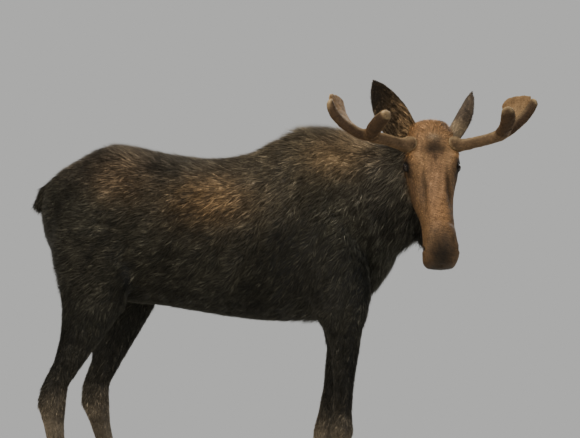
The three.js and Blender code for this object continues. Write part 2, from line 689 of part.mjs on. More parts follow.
const model = new THREE.Group();
model.add(standAtOrigin(buildMoose()));

export default model;
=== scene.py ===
"""The looks of a life-size young bull moose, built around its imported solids.

Metres, +Z up, +X the way the body faces, +Y to its left. One skin takes the place of all the solids
of flesh, a coat of small locks of hair grows on it, and the antlers, eyes and hooves are pieces of
their own.
"""

import math

import bmesh
import bpy
import numpy as np
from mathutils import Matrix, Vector
from mathutils.bvhtree import BVHTree


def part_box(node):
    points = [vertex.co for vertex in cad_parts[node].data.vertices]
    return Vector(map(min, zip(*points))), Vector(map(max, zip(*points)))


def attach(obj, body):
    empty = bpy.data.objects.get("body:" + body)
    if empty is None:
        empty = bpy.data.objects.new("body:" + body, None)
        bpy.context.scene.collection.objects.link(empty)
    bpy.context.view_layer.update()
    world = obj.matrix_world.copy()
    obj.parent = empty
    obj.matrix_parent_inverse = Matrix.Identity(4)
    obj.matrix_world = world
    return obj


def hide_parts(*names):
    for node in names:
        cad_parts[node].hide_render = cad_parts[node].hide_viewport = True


SEED = 7
MM = 0.001

# ---- the solids that each piece stands for ----
SIDES = ("left", "right")
LEGS = ["fore_right", "fore_left", "hind_right", "hind_left"]
FLESH = ["trunk", "neck", "head", "tail", "bell", "ear_right", "ear_left"]
FLESH += [f"{leg}_{part}_leg" for leg in LEGS for part in ("upper", "lower")]
ANTLER_PARTS = ["beam", "brow_tine", "palm_front", "palm_rear"]
FOOT_PARTS = ["hoof_outer", "hoof_inner", "dewclaw_outer", "dewclaw_inner"]

# ---- skin ----
OVERLAP = 1.5 * MM  # how far the solids of flesh grow into each other before they are joined
EAR_OVERLAP = 3 * MM  # more on the thin ears, so that the even cells catch their edges
WELD = 0.01 * MM
SKIN_VOXEL = 7 * MM
SWELL = {"centre": (0.22, 0, -0.02), "radius": 0.5, "factor": 1.8}  # finer cells round the head
# By kind of solid: how deep the coat is in millimetres, and how strongly the facets are relaxed, 0 to 1.
DEPTH = {"trunk": 8, "neck": 9, "tail": 6, "bell": 6, "head": 1.5, "ear": 2, "upper_leg": 5, "lower_leg": 3}
RELAX = {
    "trunk": 1, "neck": 1, "tail": 0.2, "bell": 0.2, "head": 0.25, "ear": 0.12,
    "upper_leg": 0.3, "lower_leg": 0.08,
}
RELAX_ROUNDS = 110
BLEND_ROUNDS = 60
BODY_DROP = 0.93  # share of the faces left out on the body, where the coat hides them
# Where the head keeps all its faces.
FINE_HEAD = {"centre": (0.25, 0, -0.03), "stretch": (1.5, 1.1, 1.1), "inner": 0.24, "outer": 0.34}
DROP_STEPS = 4
DROP_CONTRAST = 10
CORONET = {"reach": 14 * MM, "low": 82 * MM, "high": 125 * MM}  # the skin of the legs, down over the hooves
EYE_ROUNDING = {"reach": 40 * MM, "share": 0.5}  # more relaxing round the eyes
FINER = {"nostril": 35 * MM, "eye": 50 * MM}  # how far round them the faces are halved
FAR = 99  # of a measure that only counts close by

# ---- the head's own frame: distances from the poll to the middle between the eyes ----
EYE_ALONG = 0.178
EYE_UP = -0.052
EYE_INSET = 1 * MM  # how much deeper the eyeball sits than its solid
EYE_SHIFT = {1: -5 * MM, -1: -7 * MM}  # of the left and the right eye, towards the left
EYE_LOWER = 11 * MM  # of both, towards the nose
EYE_LOOK = {"side": 0.86, "forehead": 0.46, "nose": 0.18}  # where the eyes look
DROOP = math.radians(60)


# ---- small helpers ----
def unit(vectors):
    return vectors / (np.linalg.norm(vectors, axis=-1, keepdims=True) + 1e-12)


def linear(hex_colour):
    """sRGB hex to linear RGB."""
    channels = [int(hex_colour[i : i + 2], 16) / 255 for i in (1, 3, 5)]
    return np.array([c / 12.92 if c <= 0.04045 else ((c + 0.055) / 1.055) ** 2.4 for c in channels])


def smoothstep(low, high, values):
    t = np.clip((values - low) / (high - low), 0, 1)
    return t * t * (3 - 2 * t)


WAVES = 16  # summed in each noise
WAVE_RANGE = (0.6, 1.5)  # their frequencies, against the noise's own


def random_waves(wavelength, seed):
    """Wave vectors that run in all directions, and their phases."""
    rng = np.random.default_rng(seed)
    directions = unit(rng.normal(size=(WAVES, 3)))
    vectors = directions * 2 * math.pi / wavelength * rng.uniform(*WAVE_RANGE, (WAVES, 1))
    return vectors, rng.uniform(0, 2 * math.pi, WAVES)


def noise(points, wavelength, seed):
    """Smooth noise of mean 0 and spread 1, a sum of waves."""
    vectors, phases = random_waves(wavelength, seed)
    return np.sin(points @ vectors.T + phases).sum(1) / math.sqrt(WAVES / 2)


def noise_slope(points, directions, wavelength, seed):
    """How steeply that noise rises along a direction at each point, with a spread of about 1."""
    vectors, phases = random_waves(wavelength, seed)
    steepness = directions @ vectors.T * wavelength / (2 * math.pi)
    return (np.cos(points @ vectors.T + phases) * steepness).sum(1) / math.sqrt(WAVES / 2)


def mottling(points, patches):
    """A gain round 1 that varies in patches, from the strength, size and seed of each kind of patch."""
    gain = np.ones(len(points))
    for strength, size, seed in patches:
        gain += strength * noise(points, size, seed)
    return gain[:, None]


def gauss(values, centre, reach):
    return np.exp(-(((values - centre) / reach) ** 2))


# ---- meshes as arrays ----
def array_of(items, field, width, kind=float):
    values = np.empty(len(items) * width, kind)
    items.foreach_get(field, values)
    return values.reshape(-1, width) if width > 1 else values


def points_of(obj):
    return array_of(obj.data.vertices, "co", 3)


def normals_of(obj):
    return array_of(obj.data.vertices, "normal", 3)


def edges_of(obj):
    return array_of(obj.data.edges, "vertices", 2, int)


def triangles_of(obj):
    obj.data.calc_loop_triangles()
    return array_of(obj.data.loop_triangles, "vertices", 3, int)


def set_points(obj, points):
    obj.data.vertices.foreach_set("co", np.asarray(points, np.float32).ravel())
    obj.data.update()


def object_from(name, points, faces):
    """A smooth-shaded object from points and faces that all have the same number of corners."""
    mesh = bpy.data.meshes.new(name)
    count, corners = faces.shape
    mesh.vertices.add(len(points))
    mesh.vertices.foreach_set("co", np.asarray(points, np.float32).ravel())
    mesh.loops.add(count * corners)
    mesh.loops.foreach_set("vertex_index", faces.ravel().astype(np.int32))
    mesh.polygons.add(count)
    mesh.polygons.foreach_set("loop_start", np.arange(0, count * corners, corners, dtype=np.int32))
    mesh.update(calc_edges=True)
    shade_smooth(mesh)
    return add_object(name, mesh)


def add_object(name, data):
    made = bpy.data.objects.new(name, data)
    bpy.context.scene.collection.objects.link(made)
    return made


def joined(parts):
    """Points and faces of several meshes as one, and where the points of each start."""
    starts = np.cumsum([0] + [len(points) for points, _ in parts])
    faces = [faces + start for (_, faces), start in zip(parts, starts)]
    return np.concatenate([points for points, _ in parts]), np.concatenate(faces), starts


def shade_smooth(mesh):
    mesh.polygons.foreach_set("use_smooth", np.ones(len(mesh.polygons), bool))
    mesh.update()


def apply_modifiers(obj):
    """Replaces a mesh by what its modifiers make of it."""
    graph = bpy.context.evaluated_depsgraph_get()
    made = bpy.data.meshes.new_from_object(obj.evaluated_get(graph))
    obj.modifiers.clear()
    old = obj.data
    obj.data = made
    bpy.data.meshes.remove(old)
    shade_smooth(made)


def grown_copy(node, amount):
    """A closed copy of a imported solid, with its corners moved out by the amount."""
    work = bmesh.new()
    work.from_mesh(node.data)
    bmesh.ops.remove_doubles(work, verts=work.verts, dist=WELD)
    mesh = bpy.data.meshes.new("part of " + node.name)
    work.to_mesh(mesh)
    work.free()
    shade_smooth(mesh)
    copy = add_object(mesh.name, mesh)
    set_points(copy, points_of(copy) + normals_of(copy) * amount)
    return copy


def union_of(name, nodes, amount, ear_amount=0):
    """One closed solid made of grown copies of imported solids."""
    copies = [grown_copy(node, ear_amount if "ear_" in node.name else amount) for node in nodes]
    whole = copies[0]
    whole.name = name
    for other in copies[1:]:
        join = whole.modifiers.new("join", "BOOLEAN")
        join.operation = "UNION"
        join.solver = "MANIFOLD"
        join.object = other
    apply_modifiers(whole)
    for other in copies[1:]:
        bpy.data.objects.remove(other)
    return whole


def remesh(obj, size):
    even = obj.modifiers.new("even cells", "REMESH")
    even.mode = "VOXEL"
    even.voxel_size = size
    apply_modifiers(obj)


def keep_largest_island(obj):
    work = bmesh.new()
    work.from_mesh(obj.data)
    left = set(work.verts)
    islands = []
    while left:
        island, edge = set(), [left.pop()]
        while edge:
            vertex = edge.pop()
            island.add(vertex)
            near = {e.other_vert(vertex) for e in vertex.link_edges} & left
            left -= near
            edge += near
        islands.append(island)
    islands.sort(key=len)
    bmesh.ops.delete(work, geom=[v for island in islands[:-1] for v in island], context="VERTS")
    work.to_mesh(obj.data)
    work.free()
    shade_smooth(obj.data)


def spread(values, edges, weights, rounds):
    """Evens values out between neighbouring points, by half the difference times their weight, each round."""
    count = len(values)
    a, b = edges.T
    degree = np.bincount(edges.ravel(), minlength=count)
    share = 0.5 * weights / np.maximum(degree, 1)
    out = np.array(values, float).reshape(count, -1)
    for _ in range(rounds):
        for column in out.T:
            total = np.bincount(a, column[b], count) + np.bincount(b, column[a], count)
            column += share * (total - degree * column)
    return out.reshape(np.shape(values))


def relax(obj, weights, rounds):
    """Rounds off the facets without letting the whole form shrink."""
    start = points_of(obj)
    edges = edges_of(obj)
    weights = weights * np.ones(len(start))
    smooth = spread(start, edges, weights, rounds)
    set_points(obj, smooth + spread(start - smooth, edges, weights, rounds))


# ---- frames ----
class HeadFrame:
    """Positions along the head from the poll, to its left and out of the forehead."""

    def __init__(self):
        corners = [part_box(f"eye_{side}") for side in SIDES]
        left, right = ((low + high) / 2 for low, high in corners)
        to_left = (left - right).normalized()
        ahead = Vector((to_left.y, -to_left.x, 0)).normalized()
        up = Vector((0, 0, 1))
        along = ahead * math.cos(DROOP) - up * math.sin(DROOP)
        out = ahead * math.sin(DROOP) + up * math.cos(DROOP)
        self.axes = np.array([along, to_left, out])
        self.origin = np.array((left + right) / 2 - along * EYE_ALONG - out * EYE_UP)
        self.eye_radius = (corners[0][1].z - corners[0][0].z) / 2 - EYE_INSET / 2
        self.eye_out = (left - right).length / 2 - EYE_INSET

    def of(self, points):
        return (points - self.origin) @ self.axes.T

    def world(self, local):
        return self.origin + np.asarray(local) @ self.axes

    def eye(self, side):
        """Centre of an eyeball, and its directions towards the nose, up the face and out of the lids."""
        along, left, forehead = self.axes
        outward = left * side * EYE_LOOK["side"] + forehead * EYE_LOOK["forehead"] + along * EYE_LOOK["nose"]
        outward = unit(outward)
        noseward = unit(along - outward * (outward @ along))
        upward = unit(forehead - outward * (outward @ forehead) - noseward * (noseward @ forehead))
        centre = self.world((EYE_ALONG + EYE_LOWER, side * self.eye_out + EYE_SHIFT[side], EYE_UP))
        return centre, np.array([noseward, upward, outward])


def kind_of(node_name):
    for kind in ("upper_leg", "lower_leg", "ear"):
        if kind in node_name:
            return kind
    return node_name


KINDS = sorted({kind_of(name) for name in FLESH})


def by_kind(table, kinds):
    return np.array([table[kind] for kind in KINDS], float)[kinds]


def is_kind(kinds, *names):
    return np.isin(kinds, [KINDS.index(name) for name in names])


def nearest_parts(points, frame):
    """For each point, the index in FLESH of the solid that it lies on."""
    solids = [(points_of(frame["nodes"][name]), triangles_of(frame["nodes"][name])) for name in FLESH]
    corners, faces, _ = joined(solids)
    owner = np.repeat(np.arange(len(FLESH)), [len(faces) for _, faces in solids])
    tree = BVHTree.FromPolygons(corners.tolist(), faces.tolist())
    return owner[[tree.find_nearest(point)[2] for point in points.tolist()]]


def kinds_of_parts(parts):
    return np.array([KINDS.index(kind_of(name)) for name in FLESH])[parts]


# ---- skin ----
def swell(points, head, back=False):
    """Widens space round the head, so that cells of one size come out finer there, or takes that back."""
    centre = head.world(SWELL["centre"])
    radius = SWELL["radius"]
    factor = SWELL["factor"]
    away = points - centre
    distance = np.linalg.norm(away, axis=1)
    extra = (factor - 1) * radius
    if back:
        new = np.where(distance < radius * factor, distance / factor, distance - extra)
    else:
        new = np.where(distance < radius, distance * factor, distance + extra)
    return centre + away * (new / np.maximum(distance, 1e-9))[:, None]


HEAD_FORMS = [
    # along, out, up, reach along, reach across, rise out of the skin,
    # and the side: 0 for both, 1 for the left, -1 for the right
    (0.090, 0.000, 0.020, 0.017, 0.026, 0.010, 0),  # knob above the whorl
    (0.135, 0.000, 0.010, 0.020, 0.020, -0.003, 0),  # dip at the whorl
    (0.187, 0.003, 0.006, 0.022, 0.0045, -0.005, 1),  # crease of the forehead
    (0.170, 0.104, -0.028, 0.032, 0.034, 0.016, 0),  # brow over the eye
    (0.176, 0.112, -0.042, 0.030, 0.028, 0.006, -1),  # more of the right brow
    (0.178, 0.110, -0.046, 0.032, 0.030, 0.008, 1),  # more of the left brow
    (0.260, 0.080, -0.058, 0.030, 0.018, -0.006, 0),  # hollow before the eye
    (0.225, 0.104, -0.100, 0.050, 0.020, 0.004, 0),  # cheek bone
    (0.243, 0.100, -0.068, 0.016, 0.007, -0.005, 0),  # pit before the eye
    (0.330, 0.085, -0.100, 0.080, 0.045, 0.016, -1),  # right cheek, which the turned head pushes out
    (0.580, 0.070, -0.080, 0.060, 0.050, 0.005, 1),  # left side of the muzzle
    (0.300, 0.034, -0.016, 0.100, 0.011, 0.003, 0),  # edge of the nasal bone
    (0.290, 0.052, -0.036, 0.100, 0.010, -0.005, 0),  # hollow beside it
    (0.290, 0.076, -0.060, 0.080, 0.014, 0.004, 0),  # crest of the cheek
    (0.480, 0.030, -0.008, 0.015, 0.050, -0.004, 0),  # waist above the muzzle
    (0.532, 0.020, -0.010, 0.034, 0.060, 0.006, 0),  # swell of the muzzle
    (0.632, 0.000, -0.100, 0.024, 0.008, -0.003, 0),  # groove between the halves of the lip
]
# Where the head's forms are shaped.
FACE = {"centre": (0.32, 0, -0.07), "stretch": (2.1, 1, 1), "radius": 0.2}
NOSTRIL = {
    "along": 0.562, "up": -0.090, "half_length": 0.026, "half_width": 0.0100, "slant": 1.15, "bend": 7,
    "from_middle": 0.035, "depth": 0.014, "lip": 0.0010, "lip_at": 1.9, "lip_reach": 0.6, "roundness": 1.5,
}
MOUTH = {
    "start": 0.43, "start_fade": 0.05, "end": 0.68, "end_fade": 0.02, "level": -0.150, "half_width": 0.0060,
    "depth": 0.009,
}


def mouth(local):
    """Share of the slit of the mouth, 1 along its middle."""
    begun = smoothstep(MOUTH["start"], MOUTH["start"] + MOUTH["start_fade"], local[:, 0])
    ended = smoothstep(MOUTH["end"] - MOUTH["end_fade"], MOUTH["end"], local[:, 0])
    return gauss(local[:, 2], MOUTH["level"], MOUTH["half_width"]) * begun * (1 - ended)


def nostril(local):
    """Under 1 inside the nostrils, which are slanted and bent like a comma."""
    along = local[:, 0] - NOSTRIL["along"]
    up = local[:, 2] - NOSTRIL["up"]
    turn = NOSTRIL["slant"]
    lengthwise = along * math.cos(turn) + up * math.sin(turn)
    crosswise = up * math.cos(turn) - along * math.sin(turn) + NOSTRIL["bend"] * lengthwise**2
    oval = (lengthwise / NOSTRIL["half_length"]) ** 2 + (crosswise / NOSTRIL["half_width"]) ** 2
    return np.where(np.abs(local[:, 1]) > NOSTRIL["from_middle"], oval, FAR)


def sculpt_head(skin, head):
    points = points_of(skin)
    normals = normals_of(skin)
    local = head.of(points)
    near = np.linalg.norm((local - FACE["centre"]) / FACE["stretch"], axis=1) < FACE["radius"]
    u, v, w = local[near].T
    push = np.zeros(len(u))
    for along, out, up, reach_along, reach_across, rise, side in HEAD_FORMS:
        away = v * side if side else np.abs(v)
        here = gauss(u, along, reach_along) * gauss(away, out, reach_across) * gauss(w, up, reach_across)
        push += rise * here
    oval = nostril(local[near])
    push += NOSTRIL["lip"] * gauss(np.sqrt(oval), NOSTRIL["lip_at"], NOSTRIL["lip_reach"])
    push -= NOSTRIL["depth"] * np.exp(-(oval ** NOSTRIL["roundness"]))
    push -= MOUTH["depth"] * mouth(local[near])
    points[near] += normals[near] * push[:, None]
    set_points(skin, points)


# Radians from the middle of the eye to the lids' edge, and how far the nose corner is drawn out.
LID_ANGLES = {
    "long": 0.88, "upper": 0.74, "lower": 0.62, "corner": 0.12, "corner_reach": 0.3, "roundness": 1.7,
}
LID_SECTION = [  # radians out from the edge, and height over the eyeball in millimetres
    (-0.02, -3.0), (-0.02, 0.2), (0.01, 1.0), (0.06, 1.9), (0.13, 2.2), (0.19, 1.4), (0.24, 1.3), (0.32, 2.6),
    (0.42, 3.1), (0.50, 1.9), (0.57, 1.9), (0.67, 2.6), (0.78, 1.6), (0.92, -1.5),
]
LID_STEPS = 64
LID_FOLDS = [(5, 0.16), (9, 0.08)]  # how many wrinkles round the eye, and how deep
UPPER_LID_HEAVIER = 0.45
# The skin laid over an eyeball: its reach, the radians where it fades, the radians of the gap,
# the depth of its opening and its thickness.
SOCKET = {"reach": 60 * MM, "fade": (0.8, 1.7), "gap": 0.12, "sink": 6 * MM, "cover": 1.2 * MM}
LID_REACH = 50 * MM


def lid_edge(turn):
    """Angle from the middle of the eye to the edge of its lids, at a turn from the corner by the nose."""
    tall = np.where(np.sin(turn) > 0, LID_ANGLES["upper"], LID_ANGLES["lower"])
    power = LID_ANGLES["roundness"]
    across = (np.abs(np.cos(turn)) / LID_ANGLES["long"]) ** power
    oval = (across + (np.abs(np.sin(turn)) / tall) ** power) ** (-1 / power)
    return oval + LID_ANGLES["corner"] * gauss(np.angle(np.exp(1j * turn)), 0, LID_ANGLES["corner_reach"])


def seat_eyes(skin, head):
    """Lays the skin over each eyeball as a low mound with an opening."""
    points = points_of(skin)
    for side in (1, -1):
        centre, axes = head.eye(side)
        away = points - centre
        close = np.flatnonzero(np.linalg.norm(away, axis=1) < SOCKET["reach"])
        x, y, ahead = axes @ away[close].T
        angle = np.arctan2(np.hypot(x, y), ahead)
        opening = lid_edge(np.arctan2(y, x))
        distance = np.linalg.norm(away[close], axis=1)
        share = 1 - smoothstep(*SOCKET["fade"], angle)
        want = head.eye_radius + np.where(angle < opening + SOCKET["gap"], -SOCKET["sink"], SOCKET["cover"])
        reach = distance + share * (want - distance)
        points[close] = centre + unit(away[close]) * reach[:, None]
    set_points(skin, points)


def lid_ring(head, side):
    """Points and faces of the two lids of one eye, a closed band with folds round the opening."""
    centre, axes = head.eye(side)
    turns = np.arange(LID_STEPS) * 2 * math.pi / LID_STEPS
    rows = []
    for out, height in LID_SECTION:
        angle = lid_edge(turns) + out * (1 + sum(depth * np.sin(count * turns) for count, depth in LID_FOLDS))
        heavy = 1 + UPPER_LID_HEAVIER * np.maximum(np.sin(turns), 0)
        reach = head.eye_radius + height * heavy * MM
        across = np.sin(angle)[:, None] * np.stack([np.cos(turns), np.sin(turns)], 1)
        rows.append(centre + (np.column_stack([across, np.cos(angle)]) * reach[:, None]) @ axes)
    points = np.concatenate(rows)
    faces = []
    for row in range(len(rows)):
        here = row * LID_STEPS
        there = (row + 1) % len(rows) * LID_STEPS
        for step in range(LID_STEPS):
            after = (step + 1) % LID_STEPS
            faces += [(here + step, here + after, there + after), (here + step, there + after, there + step)]
    faces = np.array(faces)
    return points, faces if side < 0 else faces[:, ::-1]


def refine(skin, chosen):
    """Halves the faces whose corners are chosen."""
    fine = set(np.flatnonzero(chosen).tolist())
    work = bmesh.new()
    work.from_mesh(skin.data)
    edges = [e for e in work.edges if e.verts[0].index in fine and e.verts[1].index in fine]
    bmesh.ops.subdivide_edges(work, edges=edges, cuts=1, use_grid_fill=True, smooth=0.5)
    work.to_mesh(skin.data)
    work.free()
    shade_smooth(skin.data)


def thin_out_body(skin, head):
    """Keeps the head fine and drops most faces of the body, whose coat hides them."""
    local = head.of(points_of(skin))
    away = np.linalg.norm((local - FINE_HEAD["centre"]) / FINE_HEAD["stretch"], axis=1)
    body = smoothstep(FINE_HEAD["inner"], FINE_HEAD["outer"], away)
    group = skin.vertex_groups.new(name="body")
    for level in range(1, DROP_STEPS + 1):
        group.add(np.flatnonzero(np.ceil(body * DROP_STEPS) == level).tolist(), level / DROP_STEPS, "REPLACE")
    thin = skin.modifiers.new("thin out", "DECIMATE")
    thin.ratio = 1 - BODY_DROP * body.mean()
    thin.vertex_group = "body"
    thin.vertex_group_factor = DROP_CONTRAST
    apply_modifiers(skin)
    skin.vertex_groups.clear()


def eye_distance(points, head):
    """Distance to the middle of the nearer eyeball."""
    return np.min([np.linalg.norm(points - head.eye(side)[0], axis=1) for side in (1, -1)], axis=0)


def past_lids(points, head):
    """Angle, seen from the middle of the nearer eyeball, from the lids' edge outwards."""
    past = np.full(len(points), float(FAR))
    for side in (1, -1):
        centre, axes = head.eye(side)
        away = points - centre
        x, y, ahead = axes @ away.T
        angle = np.arctan2(np.hypot(x, y), ahead) - lid_edge(np.arctan2(y, x))
        past = np.where(np.linalg.norm(away, axis=1) < LID_REACH, np.minimum(past, angle), past)
    return past


def build_skin(frame, head):
    """The skin under the coat, with its lids, and the index of the first point of the lids."""
    solids = [frame["nodes"][name] for name in FLESH + ["eye_left", "eye_right"]]
    skin = union_of("skin", solids, OVERLAP, EAR_OVERLAP)
    set_points(skin, swell(points_of(skin), head))
    remesh(skin, SKIN_VOXEL)
    set_points(skin, swell(points_of(skin), head, back=True))
    kinds = kinds_of_parts(nearest_parts(points_of(skin), frame))
    fields = np.stack([by_kind(DEPTH, kinds) * MM + OVERLAP, by_kind(RELAX, kinds)], 1)
    depth, loose = spread(fields, edges_of(skin), np.ones(len(kinds)), BLEND_ROUNDS).T
    round_eyes = gauss(eye_distance(points_of(skin), head), 0, EYE_ROUNDING["reach"])
    relax(skin, np.clip(loose + EYE_ROUNDING["share"] * round_eyes, 0, 1), RELAX_ROUNDS)
    points = points_of(skin) - normals_of(skin) * depth[:, None]
    points[:, 2] -= CORONET["reach"] * (1 - smoothstep(CORONET["low"], CORONET["high"], points[:, 2]))
    set_points(skin, points)
    local = head.of(points_of(skin))
    refine(skin, np.hypot(local[:, 0] - NOSTRIL["along"], local[:, 2] - NOSTRIL["up"]) < FINER["nostril"])
    refine(skin, eye_distance(points_of(skin), head) < FINER["eye"])
    sculpt_head(skin, head)
    seat_eyes(skin, head)
    thin_out_body(skin, head)
    parts = [(points_of(skin), triangles_of(skin))] + [lid_ring(head, side) for side in (1, -1)]
    bpy.data.objects.remove(skin)
    points, faces, starts = joined(parts)
    return object_from("skin", points, faces), starts[1]


# ---- markings ----
BASE = {
    "trunk": "#1f1e19", "neck": "#1e1d19", "head": "#4f3c28", "ear": "#463825",
    "tail": "#1b1a16", "bell": "#13120f",
    "upper_leg": "#1d1c18", "lower_leg": "#5d5446",
}
HEAD_MARKS = [
    # hex, strength, then centre and reach: along, out, up
    ("#75583a", 0.9, (0.00, 0.00, 0.00), (0.08, 0.20, 0.12)),  # crown
    ("#846646", 0.8, (0.15, 0.06, 0.00), (0.08, 0.045, 0.05)),  # forehead
    ("#6a5a45", 0.8, (0.086, 0.00, 0.02), (0.018, 0.028, 0.05)),  # knob
    ("#1c1408", 1.0, (0.135, 0.00, 0.01), (0.036, 0.055, 0.06)),  # whorl
    ("#20170c", 0.9, (0.187, 0.00, 0.01), (0.024, 0.006, 0.05)),  # painted shade in the crease of the forehead
    ("#71563c", 1.0, (0.300, 0.00, 0.00), (0.120, 0.044, 0.05)),  # bridge
    ("#6c5034", 1.0, (0.430, 0.00, 0.00), (0.090, 0.048, 0.05)),  # bridge, lower
    ("#7a5a38", 0.9, (0.160, 0.10, -0.03), (0.030, 0.032, 0.040)),  # brow
    ("#2c2011", 0.75, (0.290, 0.049, -0.035), (0.110, 0.010, 0.040)),  # painted shade in the hollow beside the bridge
    ("#33261a", 0.6, (0.300, 0.094, -0.085), (0.100, 0.014, 0.040)),  # line down the cheek
    ("#1a140d", 0.85, (0.214, 0.108, -0.070), (0.024, 0.020, 0.026)),  # under the eye
    ("#33261a", 0.8, (0.36, 0.09, -0.14), (0.14, 0.05, 0.05)),  # cheek
    ("#231b12", 0.9, (0.30, 0.00, -0.22), (0.35, 0.10, 0.06)),  # under the jaw
    ("#211a12", 1.0, (0.04, 0.08, -0.20), (0.13, 0.16, 0.09)),  # nape
    ("#4b3925", 0.9, (0.560, 0.00, -0.05), (0.070, 0.120, 0.10)),  # muzzle
    ("#181209", 1.0, (0.612, 0.00, -0.075), (0.076, 0.064, 0.130)),  # front of the muzzle
    ("#1a140c", 0.95, (0.645, 0.00, -0.145), (0.070, 0.090, 0.036)),  # lips
]
BODY_MARKS = [
    # hex, strength, then centre and reach: x, y, z
    ("#29241b", 0.8, (0.08, 0.10, 1.72), (0.34, 0.60, 0.13)),  # hump
    ("#4f4230", 0.7, (0.30, 0.10, 1.70), (0.15, 0.60, 0.07)),  # brown hair with a painted sheen, behind the neck
    ("#39352c", 0.7, (-0.08, 0.10, 1.58), (0.20, 0.60, 0.15)),  # frosted shoulder
    ("#231f1a", 0.7, (-0.78, 0.10, 1.68), (0.28, 0.60, 0.11)),  # rump
    ("#4b3f30", 0.7, (-0.66, 0.10, 1.60), (0.12, 0.60, 0.09)),  # brown hair with a painted sheen, on the haunch
    ("#332c22", 0.7, (-0.28, 0.10, 1.53), (0.28, 0.60, 0.15)),  # flank
    ("#54442f", 0.7, (-0.27, 0.10, 1.52), (0.15, 0.60, 0.09)),  # brown hair with a painted highlight, on the flank
    ("#302d26", 0.7, (0.46, 0.10, 1.62), (0.18, 0.60, 0.12)),  # side of the neck
    ("#161512", 0.6, (-0.37, 0.10, 1.67), (0.22, 0.60, 0.07)),  # painted shade on the loin, darkening the top of the back under the overhead lamp
    ("#171713", 0.85, (-0.35, 0.10, 1.02), (0.70, 0.60, 0.20)),  # painted shade on the belly, darker under the body
    ("#1d1d19", 0.8, (0.42, 0.10, 1.25), (0.22, 0.60, 0.15)),  # chest and throat
]


MARK_EDGE = 1.3  # how firmly each mark ends
# Strength, size and seed of the uneven patches in each colour.
BODY_PATCHES = [(0.18, 0.30, 1), (0.16, 0.07, 2)]
FACE_PATCHES = [(0.10, 0.03, 3), (0.20, 0.011, 4)]
EAR_PATCHES = [(0.25, 0.02, 41)]
NOSTRIL_SHADE = {"inner": 0.5, "outer": 2.2, "darkest": 0.07}
MOUTH_SHADE = 0.85


def blend_marks(colours, marks, places):
    for hex_colour, strength, centre, reach in marks:
        share = strength * np.exp(-(((places - centre) / reach) ** 2).sum(1) ** MARK_EDGE)
        colours += share[:, None] * (linear(hex_colour) - colours)


def marking(points, normals, parts, kinds, edges, head, frame):
    """Colour of the coat at each point, the same for the skin and for the locks that grow on it."""
    base = np.array([linear(BASE[kind]) for kind in KINDS])
    colours = spread(base[kinds], edges, np.ones(len(points)), BLEND_ROUNDS // 3)
    local = head.of(points)
    on_head = is_kind(kinds, "head")[:, None]
    on_body = ~is_kind(kinds, "head", "ear")[:, None]
    face = colours.copy()
    blend_marks(face, HEAD_MARKS, np.column_stack([local[:, 0], np.abs(local[:, 1]), local[:, 2]]))
    body = colours.copy()
    blend_marks(body, BODY_MARKS, points)
    body *= np.clip(mottling(points, BODY_PATCHES), 0.45, 1.7)
    face *= np.clip(mottling(points, FACE_PATCHES), 0.5, 1.6)
    light = smoothstep(NOSTRIL_SHADE["inner"], NOSTRIL_SHADE["outer"], nostril(local))[:, None]
    face *= light * (1 - NOSTRIL_SHADE["darkest"]) + NOSTRIL_SHADE["darkest"]
    face *= 1 - MOUTH_SHADE * mouth(local)[:, None]
    colours = np.where(on_head, face, np.where(on_body, body, colours))
    return np.clip(mark_ears(colours, points, normals, parts, frame, head), 0, 1)


EARS = ("ear_right", "ear_left")
EAR_MIDDLE = (0.3, 0.7)  # shares of the ear's length between which its hollow shows which way it opens
EAR_RIM_SHARE = 0.2  # share of those points that lie on the rims
EAR_ROOT_SHARE = 0.15  # share of its corners at its root


def ear_places(points, parts, frame, head):
    """For points on the ears: how far they lie from root to tip, 0 to 1, and the way that each ear opens."""
    share = np.zeros(len(points))
    opening = np.zeros((len(points), 3))
    for name in EARS:
        here = parts == FLESH.index(name)
        axis, root, size = ear_axis(name, frame, head)
        share[here] = (points[here] - root) @ axis / size
        middle = here & (share > EAR_MIDDLE[0]) & (share < EAR_MIDDLE[1])
        away = points[middle] - points[middle].mean(0)
        away -= np.outer(away @ axis, axis)
        reach = np.linalg.norm(away, axis=1)
        opening[here] = unit(away[reach > np.quantile(reach, 1 - EAR_RIM_SHARE)].mean(0))
    return share, opening


def ear_axis(name, frame, head):
    """Direction from an ear's root to its tip, the root and the distance between them."""
    corners = points_of(frame["nodes"][name])
    reach = np.linalg.norm(corners - head.origin, axis=1)
    root = corners[reach < np.quantile(reach, EAR_ROOT_SHARE)].mean(0)
    tip = corners[reach.argmax()]
    return unit(tip - root), root, np.linalg.norm(tip - root)


# The dark inside colour is painted shade in the hollow of the ear.
EAR_COLOURS = {"inside": "#1d170f", "fringe": "#8a7355", "back": "#3a3127", "root": "#7d6c52"}
EAR_ROOT = {"reach": 0.35, "strength": 0.5}  # pale root, as a share of the length
EAR_FRINGE = {"fade": (0.30, 0.72), "plain": 0.35, "edge": 0.08, "width": 0.05}  # pale hair in the cup
EAR_STREAKS = {"mean": 0.45, "spread": 0.5, "size": 0.012, "seed": 42}


